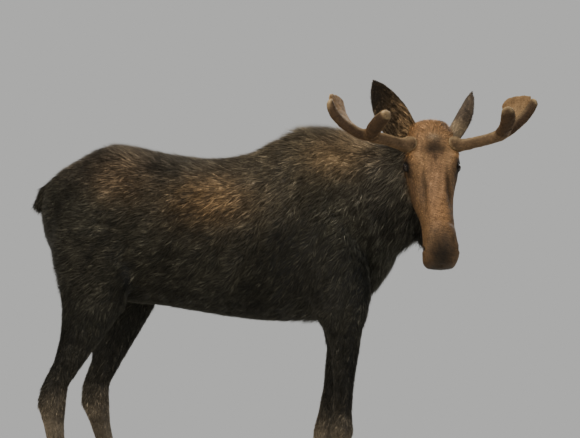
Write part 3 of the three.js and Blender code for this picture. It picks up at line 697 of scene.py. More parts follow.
def mark_ears(colours, points, normals, parts, frame, head):
    """Dark inside, as painted shade in the hollow, with a pale fringe along the inner edge, grey-brown outside
    and paler at the root.
    """
    share, opening = ear_places(points, parts, frame, head)
    facing = (normals * opening).sum(1)
    inside = smoothstep(-0.1, 0.35, facing)[:, None]
    ears = np.isin(parts, [FLESH.index(name) for name in EARS])[:, None]
    low = (1 - smoothstep(0.0, EAR_ROOT["reach"], share))[:, None]
    outer = smoothstep(0.0, EAR_FRINGE["width"], np.abs(head.of(points)[:, 1]) - EAR_FRINGE["edge"])[:, None]
    fringe = inside * (1 - smoothstep(*EAR_FRINGE["fade"], share))[:, None]
    fringe = fringe * (EAR_FRINGE["plain"] + (1 - EAR_FRINGE["plain"]) * (1 - outer))
    made = linear(EAR_COLOURS["back"]) * mottling(points, EAR_PATCHES)
    # painted shade: the hollow of the ear made dark
    made += inside * (linear(EAR_COLOURS["inside"]) - made)
    waves = noise(points, EAR_STREAKS["size"], EAR_STREAKS["seed"])
    streaks = np.clip(EAR_STREAKS["mean"] + EAR_STREAKS["spread"] * waves, 0, 1)
    made += fringe * streaks[:, None] * (linear(EAR_COLOURS["fringe"]) - made)
    made += EAR_ROOT["strength"] * low * (1 - inside) * (linear(EAR_COLOURS["root"]) - made)
    return np.where(ears, np.clip(made, 0.004, 1), colours)


# ---- the lie of the coat ----
LIE = {
    "trunk": (-1, 0, 0), "neck": (-1, 0, 0), "head": (0, 0, -1), "ear": (0, 0, 1), "tail": (-0.5, 0, -1),
    "bell": (0, 0, -1), "upper_leg": (-0.3, 0, -1), "lower_leg": (-0.1, 0, -1),
}
# By kind of solid: length and width of the locks in millimetres, and how far they stand off in degrees.
LENGTH = {
    "trunk": 42, "neck": 48, "head": 9, "ear": 9, "tail": 45, "bell": 60,
    "upper_leg": 30, "lower_leg": 13,
}
WIDTH = {
    "trunk": 2.9, "neck": 2.9, "head": 1.4, "ear": 1.8, "tail": 3, "bell": 3,
    "upper_leg": 2.5, "lower_leg": 2,
}
LIFT = {
    "trunk": 17, "neck": 18, "head": 15, "ear": 14, "tail": 16, "bell": 12,
    "upper_leg": 16, "lower_leg": 13,
}
# x, and how steeply the hair of the sides falls there.
STEEPNESS = [(-1.0, 0.3), (-0.6, 0.4), (-0.3, 0.7), (0.0, 1.1), (0.4, 1.5)]
ONTO_TOP = (0.2, 0.8)  # how much the skin faces up where the sides turn into the topline
# Share of the locks that are much paler, and how much of it is left low on the body.
GRIZZLED = {
    "trunk": 0.12, "neck": 0.12, "head": 0.06, "ear": 0.08, "tail": 0.04, "bell": 0.03,
    "upper_leg": 0.05, "lower_leg": 0.04,
}
GRIZZLED_BELOW = {"share": 0.35, "from": 1.15, "to": 1.5}
# How the hair of the face parts at the whorl, spreads sideways and turns back along the cheeks.
FACE_LIE = {
    "whorl": 0.115, "turn": 0.03, "middle": 0.05, "sideways": 1.3, "less": (0.1, 0.3),
    "backwards": 0.5, "cheek": (0.02, 0.12),
}
# Places that change the hair: what their share adds to its length, width and lift. Groups multiply.
HAIR_CHANGES = [
    [("muzzle", -0.5, 0, 0), ("crown", 0.8, 0.5, 1.0), ("jaw", 0.9, 0, 0)],
    [("crest", 0.3, 0, 0.4), ("topline", 0.25, 0, 0.9)],
    [("cup of the ear", 1.5, 0, 1.2)],
    [("pastern", 1.6, 0, 0.5)],
    [("throat", 0.35, 0, 1.0)],
]


def lie_of_coat(points, normals, parts, kinds, head, frame):
    """Direction in which the hair runs at each point, before it is laid on the skin."""
    lie = by_kind(LIE, kinds)
    side = is_kind(kinds, "trunk", "neck")
    steepness = np.interp(points[:, 0], *zip(*STEEPNESS)) * (1 - smoothstep(*ONTO_TOP, normals[:, 2]))
    lie[side, 2] = -steepness[side]
    local = head.of(points)
    face = is_kind(kinds, "head")
    down = np.tanh((local[:, 0] - FACE_LIE["whorl"]) / FACE_LIE["turn"])
    sideways = np.sign(local[:, 1]) * smoothstep(0, FACE_LIE["middle"], np.abs(local[:, 1]))
    sideways *= FACE_LIE["sideways"] - smoothstep(*FACE_LIE["less"], local[:, 0])
    backwards = -FACE_LIE["backwards"] * smoothstep(*FACE_LIE["cheek"], -local[:, 2])
    lie[face] = (np.stack([down, sideways, backwards], 1) @ head.axes)[face]
    for name in EARS:
        lie[parts == FLESH.index(name)] = ear_axis(name, frame, head)[0]
    return lie


HAIR_PLACES = {
    "muzzle": (0.42, 0.56),  # distances down the head
    "crown": (0.03, 0.12),
    "jaw": (0.10, 0.20),  # distances behind the forehead
    "topline": (0.55, 0.95),  # how much the skin faces up
    "throat": (0.3, 0.8),  # how much the skin faces down
    "crest": (-0.25, 0.1),  # x
    "cup": (0, 0.4),  # how much the skin faces the opening of the ear
    "ear tip": (0.35, 0.8),  # shares of the ear's length
    "pastern": (0.085, 0.15),  # heights
}
TOPLINE_ABOVE = 1.45
THROAT_FROM = 0.1


def hair_places(points, normals, parts, kinds, head, frame):
    """By name, how much each point belongs to the places where the hair is longer, shorter or fuller."""
    local = head.of(points)
    on_head = is_kind(kinds, "head")
    topline = smoothstep(*HAIR_PLACES["topline"], normals[:, 2]) * (points[:, 2] > TOPLINE_ABOVE) * ~on_head
    share, opening = ear_places(points, parts, frame, head)
    cup = smoothstep(*HAIR_PLACES["cup"], (normals * opening).sum(1))
    cup = cup * (1 - smoothstep(*HAIR_PLACES["ear tip"], share)) * (share != 0)
    return {
        "muzzle": smoothstep(*HAIR_PLACES["muzzle"], local[:, 0]) * on_head,
        "crown": (1 - smoothstep(*HAIR_PLACES["crown"], local[:, 0])) * on_head,
        "jaw": smoothstep(*HAIR_PLACES["jaw"], -local[:, 2]) * on_head,
        "topline": topline,
        "crest": topline * smoothstep(*HAIR_PLACES["crest"], points[:, 0]),
        "cup of the ear": cup,
        "pastern": is_kind(kinds, "lower_leg") * (1 - smoothstep(*HAIR_PLACES["pastern"], points[:, 2])),
        "throat": smoothstep(*HAIR_PLACES["throat"], -normals[:, 2]) * (points[:, 0] > THROAT_FROM) * ~on_head,
    }


def hair_fields(points, normals, parts, kinds, head, frame):
    """Length, width and lift of the hair at each point, in metres and radians."""
    fields = [by_kind(LENGTH, kinds) * MM, by_kind(WIDTH, kinds) * MM, np.radians(by_kind(LIFT, kinds))]
    places = hair_places(points, normals, parts, kinds, head, frame)
    for group in HAIR_CHANGES:
        for field, *added in zip(fields, *[change[1:] for change in group]):
            field *= 1 + sum(amount * places[change[0]] for amount, change in zip(added, group))
    return fields


# ---- coat ----
# Name: kinds, the band of x that it covers, how many locks, segments in each.
COATS = {
    "coat_face": (("head",), (-FAR, FAR), 47000, 1),
    "coat_ears": (("ear",), (-FAR, FAR), 18000, 1),
    "coat_tail_and_bell": (("tail", "bell"), (-FAR, FAR), 3000, 2),
    "coat_neck": (("neck",), (-FAR, FAR), 45000, 1),
    "coat_shoulder": (("trunk",), (0.0, FAR), 41000, 1),
    "coat_ribs": (("trunk",), (-0.38, 0.0), 44000, 1),
    "coat_loin": (("trunk",), (-0.74, -0.38), 44000, 1),
    "coat_rump": (("trunk",), (-FAR, -0.74), 41000, 1),
    "coat_upper_legs": (("upper_leg",), (-FAR, FAR), 44000, 1),
    "coat_lower_legs": (("lower_leg",), (-FAR, FAR), 28000, 1),
}
# The head's hair where it meets the neck's.
BORDER = {"longer": 14 * MM, "wider": 0.9 * MM, "denser": 5, "fade": (0.02, 0.4)}
LASHES = {
    "row": 3, "from": 0.6, "to": 2.5, "each": 2, "uneven": 0.4 * MM,
    "length": 9 * MM, "width": 0.8 * MM, "lift": math.radians(50), "grizzled": 0,
}
LID_COLOUR = "#0a0806"
LID_SHADE = (0.1, 1.1)  # angles past the lids' edge between which their colour gives way to the coat's
LID_HAIR = {"shortest": 0.3, "from": 0.1, "to": 1.2}
BARE = {"lids": 0.14, "nostril": 1.2}  # no hair within these
UNDERCOAT_AND_SHADE = 0.6  # how much darker the skin is than the locks on the body: a darker undercoat, and painted shade under the hair
PATCH = 0.003  # size of each lock's patch on the unwrap
SINK = 0.6  # how deep a root is set, in widths
CLUMP = 0.010  # size of the clumps that locks draw together in
SWAY = {"size": 0.05, "wide": 0.22, "each": 0.16}  # radians by which the locks lie off their course
BEND = {"each": 0.10, "clump": 0.05}
LENGTHS = (0.65, 1.2)  # shortest and longest, against their place's own
RISE = {"clump": 0.35, "each": 0.25, "least": 0.25, "most": 2.2}
TAPER = [(0, 0.38), (0.5, 0.5), (1, 0)]  # along the lock, and half its width
RIDGE = 0.9  # how far the third side stands up, in half widths
SHADE = {"each": 0.45, "clump": 0.42, "patch": 0.15, "patch_size": 0.05, "all": -0.2}
PALE = {"gain": 3, "width": 0.65}  # of the grizzled locks
SEEDS = {"sway": 11, "clump": 13, "patch": 14, "bumps": 21, "fine bumps": 22, "rings": 31}


def scatter(corners, faces, weights, count, rng):
    """Even random places on the faces: the face of each, and its share of that face's three corners."""
    sides = corners[faces]
    area = np.linalg.norm(np.cross(sides[:, 1] - sides[:, 0], sides[:, 2] - sides[:, 0]), axis=1)
    total = np.cumsum(area * weights)
    picks = (np.arange(count) + rng.uniform(0, 1, count)) / count * total[-1]
    face = np.minimum(np.searchsorted(total, picks), len(faces) - 1)
    two = rng.uniform(0, 1, (2, count))
    two = np.where(two.sum(0) > 1, 1 - two, two)
    return face, np.column_stack([1 - two.sum(0), *two])


def locks(name, roots, segments, rng):
    """Thin tapering locks, each three-sided and closed, as one mesh."""
    p, n, length, width, lift = (roots[key] for key in ("point", "normal", "length", "width", "lift"))
    count = len(p)
    pale = rng.uniform(size=count) < roots["grizzled"]
    width = width * np.where(pale, PALE["width"], 1)
    lie = unit(roots["lie"] - n * (roots["lie"] * n).sum(1, keepdims=True))
    side = np.cross(lie, n)
    stray = SWAY["wide"] * noise(p, SWAY["size"], SEEDS["sway"]) + SWAY["each"] * rng.normal(size=count)
    lie = lie * np.cos(stray)[:, None] + side * np.sin(stray)[:, None]
    side = np.cross(lie, n)
    clump = noise(p, CLUMP, SEEDS["clump"])
    gather = BEND["clump"] * noise_slope(p, side, CLUMP, SEEDS["clump"])
    bend = rng.normal(0, BEND["each"], count) + gather
    length = length * rng.uniform(*LENGTHS, count)
    gain = 1 + RISE["clump"] * clump + rng.normal(0, RISE["each"], count)
    rise = np.sin(lift * np.clip(gain, RISE["least"], RISE["most"]))
    rings = []
    for step in range(segments + 1):
        s = step / segments
        middle = p + lie * (length * s)[:, None] + side * (length * bend * s * s)[:, None]
        middle += n * (length * rise * s * (1 - 0.5 * s) - (SINK * width if step == 0 else 0))[:, None]
        if step == segments:
            rings.append(middle[:, None])
            continue
        half = width * np.interp(s, *zip(*TAPER))
        edge = side * half[:, None]
        ridge = n * (RIDGE * half)[:, None]
        rings.append(np.stack([middle - edge, middle + edge, middle + ridge], 1))
    points = np.concatenate(rings, 1)
    per_lock = points.shape[1]
    pattern = [(0, 1, 2)]
    for step in range(segments):
        a = 3 * step
        for k in range(3):
            after = (k + 1) % 3
            if step == segments - 1:
                pattern.append((a + k, a + 3, a + after))
            else:
                pattern += [(a + k, a + 3 + k, a + 3 + after), (a + k, a + 3 + after, a + after)]
    faces = (np.arange(count)[:, None, None] * per_lock + np.array(pattern)).reshape(-1, 3)
    coat = object_from(name, points.reshape(-1, 3), faces)
    along = np.array([step / segments for step in range(segments) for _ in range(3)] + [1.0])
    across = np.array([0, 1, 0.5] * segments + [0.5])
    shade = SHADE["each"] * rng.normal(size=count) + SHADE["clump"] * clump + SHADE["all"]
    shade += SHADE["patch"] * noise(p, SHADE["patch_size"], SEEDS["patch"])
    shade = np.exp(shade) * np.where(pale, PALE["gain"], 1)
    colour = np.repeat(roots["colour"] * shade[:, None], per_lock, 0)
    store_colour(coat, colour, np.tile(along, count))
    patch = np.stack([across - 0.5, along - 0.5], 1) * PATCH
    store_unwrap(coat, (roots["unwrap"][:, None] + patch).reshape(-1, 2)[faces.ravel()])
    return coat


def store_colour(obj, colour, along):
    layer = obj.data.color_attributes.new("coat_colour", "FLOAT_COLOR", "POINT")
    layer.data.foreach_set("color", np.column_stack([colour, along]).astype(np.float32).ravel())


def store_unwrap(obj, coordinates):
    layer = obj.data.uv_layers.new(name="OFBake")
    layer.data.foreach_set("uv", np.asarray(coordinates, np.float32).ravel())


def unwrap(obj):
    """Unwraps a mesh into flat islands, and returns the place of each corner of each triangle."""
    obj.data.uv_layers.new(name="OFBake")
    bpy.context.view_layer.objects.active = obj
    obj.select_set(True)
    bpy.ops.object.mode_set(mode="EDIT")
    bpy.ops.mesh.select_all(action="SELECT")
    bpy.ops.uv.smart_project(angle_limit=math.radians(66), island_margin=0.003)
    bpy.ops.object.mode_set(mode="OBJECT")
    obj.select_set(False)
    return array_of(obj.data.uv_layers["OFBake"].data, "uv", 2).reshape(-1, 3, 2)


def grow_coats(skin, lid_start, head, frame, rng):
    """Colours the skin and grows on it all the pieces of the coat, and the lashes."""
    points = points_of(skin)
    normals = normals_of(skin)
    faces = triangles_of(skin)
    places = unwrap(skin)
    edges = edges_of(skin)
    parts = nearest_parts(points, frame)
    kinds = kinds_of_parts(parts)
    even = np.ones(len(points))
    colours = marking(points, normals, parts, kinds, edges, head, frame)
    lie = spread(lie_of_coat(points, normals, parts, kinds, head, frame), edges, even, 12)
    fields = np.stack(hair_fields(points, normals, parts, kinds, head, frame), 1)
    length, width, lift = spread(fields, edges, even, 8).T
    past = past_lids(points, head)
    rim = smoothstep(*LID_SHADE, past)[:, None]
    colours = linear(LID_COLOUR) + rim * (colours - linear(LID_COLOUR))
    on_body = is_kind(kinds, "trunk", "neck", "tail", "bell", "upper_leg")
    # The skin of the body is darkened: its darker undercoat, and painted shade under the hair.
    under = 1 - UNDERCOAT_AND_SHADE * spread(on_body, edges, even, 12)
    store_colour(skin, colours * under[:, None], np.zeros(len(points)))
    grown = smoothstep(LID_HAIR["from"], LID_HAIR["to"], past)
    length *= LID_HAIR["shortest"] + (1 - LID_HAIR["shortest"]) * grown
    nearly_neck = spread(is_kind(kinds, "neck"), edges, even, BLEND_ROUNDS)
    border = 4 * nearly_neck * (1 - nearly_neck)  # 1 where the neck meets its neighbours
    fuller = is_kind(kinds, "head") * smoothstep(*BORDER["fade"], nearly_neck)
    length += fuller * BORDER["longer"]
    width += fuller * BORDER["wider"]
    bare = (past < BARE["lids"]) | (nostril(head.of(points)) < BARE["nostril"])
    weights = (1 - bare[faces].max(1)) * (1 + BORDER["denser"] * border[faces].mean(1))
    surface = {"point": points, "normal": normals, "lie": lie, "length": length, "width": width, "lift": lift}
    high = smoothstep(GRIZZLED_BELOW["from"], GRIZZLED_BELOW["to"], points[:, 2])
    kept = GRIZZLED_BELOW["share"] + (1 - GRIZZLED_BELOW["share"]) * high
    surface["grizzled"] = spread(by_kind(GRIZZLED, kinds) * kept, edges, even, 12)
    surface |= {"colour": colours, "faces": faces, "places": places}
    middles = points[faces].mean(1)
    coats = []
    for name, (wanted, (low, high), count, segments) in COATS.items():
        here = is_kind(kinds[faces[:, 0]], *wanted)
        here &= (middles[:, 0] >= low) & (middles[:, 0] < high)
        coats.append(sow(name, surface, weights * here / width[faces].mean(1), count, segments, rng))
    coats.append(grow_lashes(surface, lid_start, head, rng))
    return coats


def grow_lashes(surface, lid_start, head, rng):
    """A row of lashes along the upper lid of each eye."""
    per_eye = len(LID_SECTION) * LID_STEPS
    turns = np.arange(LID_STEPS) * 2 * math.pi / LID_STEPS
    upper = np.flatnonzero((turns > LASHES["from"]) & (turns < LASHES["to"]))
    on_vertices = np.zeros((len(surface["point"]), 2))
    on_vertices[surface["faces"].ravel()] = surface["places"].reshape(-1, 2)
    chosen, outward, away = [], [], []
    for index, side in enumerate((1, -1)):
        centre, axes = head.eye(side)
        row = lid_start + index * per_eye + LASHES["row"] * LID_STEPS + upper
        chosen += row.tolist()
        outward += [axes[2]] * len(row)
        away += unit(surface["point"][row] - centre).tolist()
    each = LASHES["each"]
    row = np.repeat(np.array(chosen), each)
    uneven = rng.normal(0, LASHES["uneven"], (len(row), 3))
    roots = {"point": surface["point"][row] + uneven, "unwrap": on_vertices[row]}
    roots |= {"normal": np.repeat(outward, each, 0), "lie": np.repeat(away, each, 0)}
    roots |= {key: LASHES[key] * np.ones(len(row)) for key in ("length", "width", "lift", "grizzled")}
    roots["colour"] = np.tile(linear(LID_COLOUR), (len(row), 1))
    return locks("lashes", roots, 2, rng)


def sow(name, surface, dense, count, segments, rng):
    """Grows locks from even random roots on a surface, as dense as the weights of its faces say."""
    faces = surface["faces"]
    face, share = scatter(surface["point"], faces, dense, count, rng)
    roots = {"unwrap": (surface["places"][face] * share[:, :, None]).sum(1)}
    for key in ("point", "normal", "lie", "length", "width", "lift", "colour", "grizzled"):
        values = surface[key][faces[face]]
        roots[key] = (values * share.reshape(share.shape + (1,) * (values.ndim - 2))).sum(1)
    roots["normal"] = unit(roots["normal"])
    return locks(name, roots, segments, rng)


# ---- antlers ----
ANTLER = {"grown": 0.6 * MM, "voxel": 3.8 * MM, "slack": 0.8, "rounds": 45, "pile": 1.6 * MM, "blend": 6}
ANTLER_ROOT = {"along": 0.06, "out": 0.085, "burr": 0.02}
BUMPS = {
    "broad": 0.5 * MM, "broad_size": 28 * MM, "fine": 0.25 * MM, "on_burr": 1.1 * MM, "fine_size": 9 * MM,
}
# Painted shade on the front tines and the front of the palm, and a lighter brown inside the palm.
ANTLER_COLOURS_AND_SHADE = {"beam": "#453625", "brow_tine": "#2d2115", "palm_front": "#2d2115", "palm_rear": "#56422b"}
ANTLER_PATCHES = [(0.10, 0.012, 23), (0.10, 0.05, 24)]
# A painted highlight round the rims of the velvet.
RIM_HIGHLIGHT = {"colour": "#a08a66", "rounds": 25, "shares": (0.78, 1.0), "strength": 0.7}
# Painted light on the upper side, paler where the velvet faces up.
TOP_LIGHT = {"facing": (0.3, 0.9), "strength": 0.2}
VELVET = {"count": 8000, "length": 3.6 * MM, "width": 1.0 * MM, "lift": math.radians(34), "grizzled": 0.1}


def build_antler(side, frame, head, rng):
    """One antler in velvet, and the fuzz on it."""
    nodes = [f"antler_{side}_{part}" for part in ANTLER_PARTS]
    antler = union_of("antler_" + side, [frame["nodes"][name] for name in nodes], ANTLER["grown"])
    remesh(antler, ANTLER["voxel"])
    keep_largest_island(antler)
    relax(antler, ANTLER["slack"], ANTLER["rounds"])
    colours = antler_colours(antler, nodes, frame)
    points = points_of(antler)
    burr = gauss(np.abs(head.of(points)[:, 1]), ANTLER_ROOT["out"], ANTLER_ROOT["burr"])
    bumps = BUMPS["broad"] * noise(points, BUMPS["broad_size"], SEEDS["bumps"])
    fine = noise(points, BUMPS["fine_size"], SEEDS["fine bumps"])
    bumps += (BUMPS["fine"] + BUMPS["on_burr"] * burr) * fine
    set_points(antler, points + normals_of(antler) * (bumps - ANTLER["pile"])[:, None])
    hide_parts(*nodes)
    antler.modifiers.new("triangles", "TRIANGULATE")
    apply_modifiers(antler)
    places = unwrap(antler)
    points = points_of(antler)
    even = np.ones(len(points))
    store_colour(antler, colours, 0 * even)
    outward = 1 if side == "left" else -1
    root = head.world((ANTLER_ROOT["along"], outward * ANTLER_ROOT["out"], 0))
    surface = {"point": points, "normal": normals_of(antler), "lie": unit(points - root), "colour": colours}
    surface |= {key: VELVET[key] * even for key in ("length", "width", "lift", "grizzled")}
    surface |= {"faces": triangles_of(antler), "places": places}
    fuzz = sow("velvet_" + side, surface, np.ones(len(surface["faces"])), VELVET["count"], 1, rng)
    return antler, fuzz


def antler_colours(antler, nodes, frame):
    """Darkest on the front tines, as painted shade, brown inside the palm, and paler on the upper side and
    round the rims, as painted light.
    """
    points = points_of(antler)
    normals = normals_of(antler)
    edges = edges_of(antler)
    even = np.ones(len(points))
    solids = [frame["nodes"][name] for name in nodes]
    shapes = [(points_of(solid).tolist(), triangles_of(solid).tolist()) for solid in solids]
    trees = [BVHTree.FromPolygons(*shape) for shape in shapes]
    nearest = [min(range(len(trees)), key=lambda k: trees[k].find_nearest(p)[3]) for p in points.tolist()]
    own = np.array([linear(ANTLER_COLOURS_AND_SHADE[part]) for part in ANTLER_PARTS])[nearest]
    colours = spread(own, edges, even, ANTLER["blend"])
    bulge = ((points - spread(points, edges, even, RIM_HIGHLIGHT["rounds"])) * normals).sum(1)
    rim = smoothstep(*np.quantile(bulge, RIM_HIGHLIGHT["shares"]), bulge)
    lit = smoothstep(*TOP_LIGHT["facing"], normals[:, 2])
    # painted highlight round the rims and painted light on the upper side
    pale = np.clip(RIM_HIGHLIGHT["strength"] * rim + TOP_LIGHT["strength"] * lit, 0, 1)[:, None]
    streaks = np.clip(mottling(points, ANTLER_PATCHES), 0.6, 1.4)
    return streaks * (colours + pale * (linear(RIM_HIGHLIGHT["colour"]) - colours))


# ---- eyes ----
EYE_STEPS = (40, 28)
CORNEA = {"angle": 0.62, "rise": 0.07}
PUPIL = (0.34, 0.15)
IRIS = 0.60


def build_eye(side, head):
    """An eyeball with a swelling over the iris and a wide pupil, coloured from its middle outwards."""
    sign = 1 if side == "left" else -1
    centre, axes = head.eye(sign)
    round_steps, down_steps = EYE_STEPS
    turns = np.arange(round_steps) * 2 * math.pi / round_steps
    angles = np.linspace(0, math.pi, down_steps + 1)[1:-1]
    turn, angle = (a.ravel() for a in np.meshgrid(turns, angles))
    turn, angle = np.append(turn, [0, 0]), np.append(angle, [0, math.pi])
    rise = CORNEA["rise"] * np.clip(1 - (angle / CORNEA["angle"]) ** 2, 0, 1)
    local = np.stack([np.sin(angle) * np.cos(turn), np.sin(angle) * np.sin(turn), np.cos(angle)], 1)
    points = centre + local * (head.eye_radius * (1 + rise))[:, None] @ axes
    front, back = len(points) - 2, len(points) - 1
    faces = []
    for step in range(round_steps):
        after = (step + 1) % round_steps
        faces.append((front, step, after))
        for row in range(down_steps - 2):
            a = row * round_steps
            b = a + round_steps
            faces += [(a + step, b + step, b + after), (a + step, b + after, a + after)]
        last = (down_steps - 2) * round_steps
        faces.append((last + step, back, last + after))
    faces = np.array(faces)
    eye = object_from(f"eyeball_{side}", points, faces if sign > 0 else faces[:, ::-1])
    pupil = (local[:, 0] / PUPIL[0]) ** 2 + (local[:, 1] / PUPIL[1]) ** 2
    iris = linear("#1c120a") * (0.8 + 0.2 * np.cos(turn * 23))[:, None]
    colour = np.where((pupil < 1)[:, None], linear("#050505"), iris)
    colour = np.where((angle > IRIS)[:, None], linear("#0e0b09"), colour)
    store_colour(eye, colour, np.zeros(len(points)))
    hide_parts("eye_" + side)
    return eye


# ---- feet ----
HOOF = {"voxel": 3.2 * MM, "slack": 0.8, "rounds": 18, "sole": 8 * MM}
# Growth rings: how far apart and how high they are, how far in they lie, and how they waver.
RINGS = {"every": 11 * MM, "height": 0.16 * MM, "inset": 0.2 * MM, "waver": 2.5, "waver_size": 0.04}
CLAW = {
    "closer": 5.6 * MM,  # how far the heels come together
    "toe_open": 0.35,  # share of that which is left out at the toes
    "toe": 0.6,  # share of the width lost at the tip of the toe
    "crown": 0.25,  # and at the top
    "heel": 0.3,  # and at the heel
    "flare": 3 * MM,  # outwards at the ground
    "hollow": 4 * MM,  # dip of the front wall
    "drop": 6 * MM,  # of the top over the heel
}


def shape_claw(points, middle):
    """Points the toe of a claw, rounds its crown and brings its heel nearer to the other claw."""
    low, high = points.min(0), points.max(0)
    forward, _, height = ((points - low) / (high - low)).T
    away = points[:, 1] - middle
    side = np.sign(away.mean())
    inner = np.abs(away).min()
    outward = np.abs(away) - inner
    narrow = 1 - CLAW["toe"] * smoothstep(0.35, 1.05, forward) ** 1.4
    narrow -= CLAW["crown"] * smoothstep(0.5, 1.05, height) ** 2
    narrow -= CLAW["heel"] * (1 - smoothstep(0, 0.25, forward)) ** 2
    flare = CLAW["flare"] * (1 - height) ** 2 * outward / outward.max()
    shut = CLAW["closer"] * (1 - CLAW["toe_open"] * forward * (1 - height))
    points[:, 1] = middle + side * (inner + outward * narrow + flare - shut)
    points[:, 0] -= CLAW["hollow"] * forward * np.sin(math.pi * height)
    points[:, 2] -= CLAW["drop"] * smoothstep(0.5, 1, height) * (1 - smoothstep(0, 0.5, forward))
    return points


def build_foot(leg, frame):
    """The two claws and the two dewclaws of a foot, with faint growth rings."""
    nodes = [f"{leg}_{part}" for part in FOOT_PARTS]
    claws = np.concatenate([points_of(frame["nodes"][name]) for name in nodes[:2]])
    middle = (claws[:, 1].min() + claws[:, 1].max()) / 2
    pieces = []
    for name in nodes:
        piece = grown_copy(frame["nodes"][name], 0)
        remesh(piece, HOOF["voxel"])
        if "hoof" in name:
            set_points(piece, shape_claw(points_of(piece), middle))
        relax(piece, HOOF["slack"], HOOF["rounds"])
        points = points_of(piece)
        wall = smoothstep(0, HOOF["sole"], points[:, 2] - points[:, 2].min())
        waver = RINGS["waver"] * noise(points, RINGS["waver_size"], SEEDS["rings"])
        rings = np.sin(points[:, 2] * 2 * math.pi / RINGS["every"] + waver)
        relief = wall * (RINGS["height"] * rings - RINGS["inset"])
        set_points(piece, points + normals_of(piece) * relief[:, None])
        pieces.append((points_of(piece), triangles_of(piece)))
        bpy.data.objects.remove(piece)
    points, faces, _ = joined(pieces)
    foot = object_from("hooves_" + leg, points, faces)
    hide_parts(*nodes)
    return foot


# ---- materials ----
def node(tree, kind, inputs=None, **settings):
    """Adds a node with its settings, and its inputs from values or from other nodes' sockets."""
    made = tree.nodes.new(kind)
    for key, value in settings.items():
        setattr(made, key, value)
    for key, value in (inputs or {}).items():
        if isinstance(value, bpy.types.NodeSocket):
            tree.links.new(value, made.inputs[key])
        else:
            made.inputs[key].default_value = value
    return made


MULTIPLY = {"data_type": "RGBA", "blend_type": "MULTIPLY"}
MIX = {"data_type": "RGBA", "blend_type": "MIX"}
MOST = (0.3, 0.7)  # values between which most of a noise lies
HALF = (0.35, 0.65)  # and the middle half of it


def span(value, low, high, start=0, end=1):
    """Inputs of a map range that carry a value over from one range to another."""
    return {"Value": value, "From Min": start, "From Max": end, "To Min": low, "To Max": high}


def new_material(name):
    material = bpy.data.materials.new(name)
    material.use_nodes = True
    material.node_tree.nodes.clear()
    return material, material.node_tree


def finish_material(tree, inputs):
    shader = node(tree, "ShaderNodeBsdfPrincipled", inputs)
    node(tree, "ShaderNodeOutputMaterial", {"Surface": shader.outputs["BSDF"]})


def rgba(hex_colour):
    return (*linear(hex_colour), 1)


def grain(tree, size, detail=4, stretch=(1, 1, 1)):
    """Noise whose grains are of this size, in metres, in the object's own space."""
    place = node(tree, "ShaderNodeTexCoord").outputs["Object"]
    scaled = node(tree, "ShaderNodeMapping", {"Vector": place, "Scale": [s / size for s in stretch]})
    inputs = {"Vector": scaled.outputs["Vector"], "Scale": 1, "Detail": detail}
    return node(tree, "ShaderNodeTexNoise", inputs).outputs["Fac"]


def hair_material(name, tip_gain, sheen):
    """Hair as it grows, in the colours of the markings, laid flat by weather: dull, soft gloss, paler tips.

    The strands are drawn 4 mm wide, where true hairs are about 0.1 mm, so that they show from afar.
    """
    material, tree = new_material(name)
    marks = node(tree, "ShaderNodeAttribute", attribute_name="coat_colour").outputs
    strands = grain(tree, 4 * MM, stretch=(0.35, 1, 0.35))
    tipped = node(tree, "ShaderNodeMapRange", span(marks["Alpha"], 0.7, tip_gain, 0.1)).outputs["Result"]
    streaked = node(tree, "ShaderNodeMapRange", span(strands, 0.55, 1.45, *MOST)).outputs["Result"]
    gain = node(tree, "ShaderNodeMath", {0: tipped, 1: streaked}, operation="MULTIPLY").outputs[0]
    colour = node(tree, "ShaderNodeVectorMath", {0: marks["Color"], "Scale": gain}, operation="SCALE")
    bump = node(tree, "ShaderNodeBump", {"Height": strands, "Distance": 0.6 * MM, "Strength": 0.5})
    inputs = {"Base Color": colour.outputs["Vector"], "Normal": bump.outputs["Normal"]}
    inputs["Roughness"] = node(tree, "ShaderNodeMapRange", span(strands, 0.42, 0.62)).outputs["Result"]
    inputs |= {"Specular IOR Level": 0.12, "Sheen Weight": sheen, "Sheen Roughness": 0.45}
    inputs["Sheen Tint"] = rgba("#b8a07c")
    finish_material(tree, inputs)
    return material


def skin_material():
    """Skin under short hair, grown and creased by movement: dull, with fine hairs and shallow wrinkles.

    The hairs are drawn 2.2 mm wide, where true ones are about 0.1 mm, so that they show from afar.
    """
    material, tree = new_material("short hair on skin")
    marks = node(tree, "ShaderNodeAttribute", attribute_name="coat_colour").outputs
    hairs = grain(tree, 2.2 * MM, detail=6)
    wrinkles = grain(tree, 10 * MM, detail=3)
    gain = node(tree, "ShaderNodeMapRange", span(hairs, 0.6, 1.25, *MOST)).outputs["Result"]
    colour = node(tree, "ShaderNodeMix", {0: 1, 6: marks["Color"], 7: gain}, **MULTIPLY)
    fine = node(tree, "ShaderNodeBump", {"Height": hairs, "Distance": 0.8 * MM, "Strength": 0.7})
    folds = {"Height": wrinkles, "Distance": 1 * MM, "Strength": 0.3, "Normal": fine.outputs["Normal"]}
    coarse = node(tree, "ShaderNodeBump", folds)
    inputs = {"Base Color": colour.outputs[2], "Normal": coarse.outputs["Normal"], "Specular IOR Level": 0.12}
    inputs["Roughness"] = node(tree, "ShaderNodeMapRange", span(hairs, 0.45, 0.75)).outputs["Result"]
    finish_material(tree, inputs)
    return material


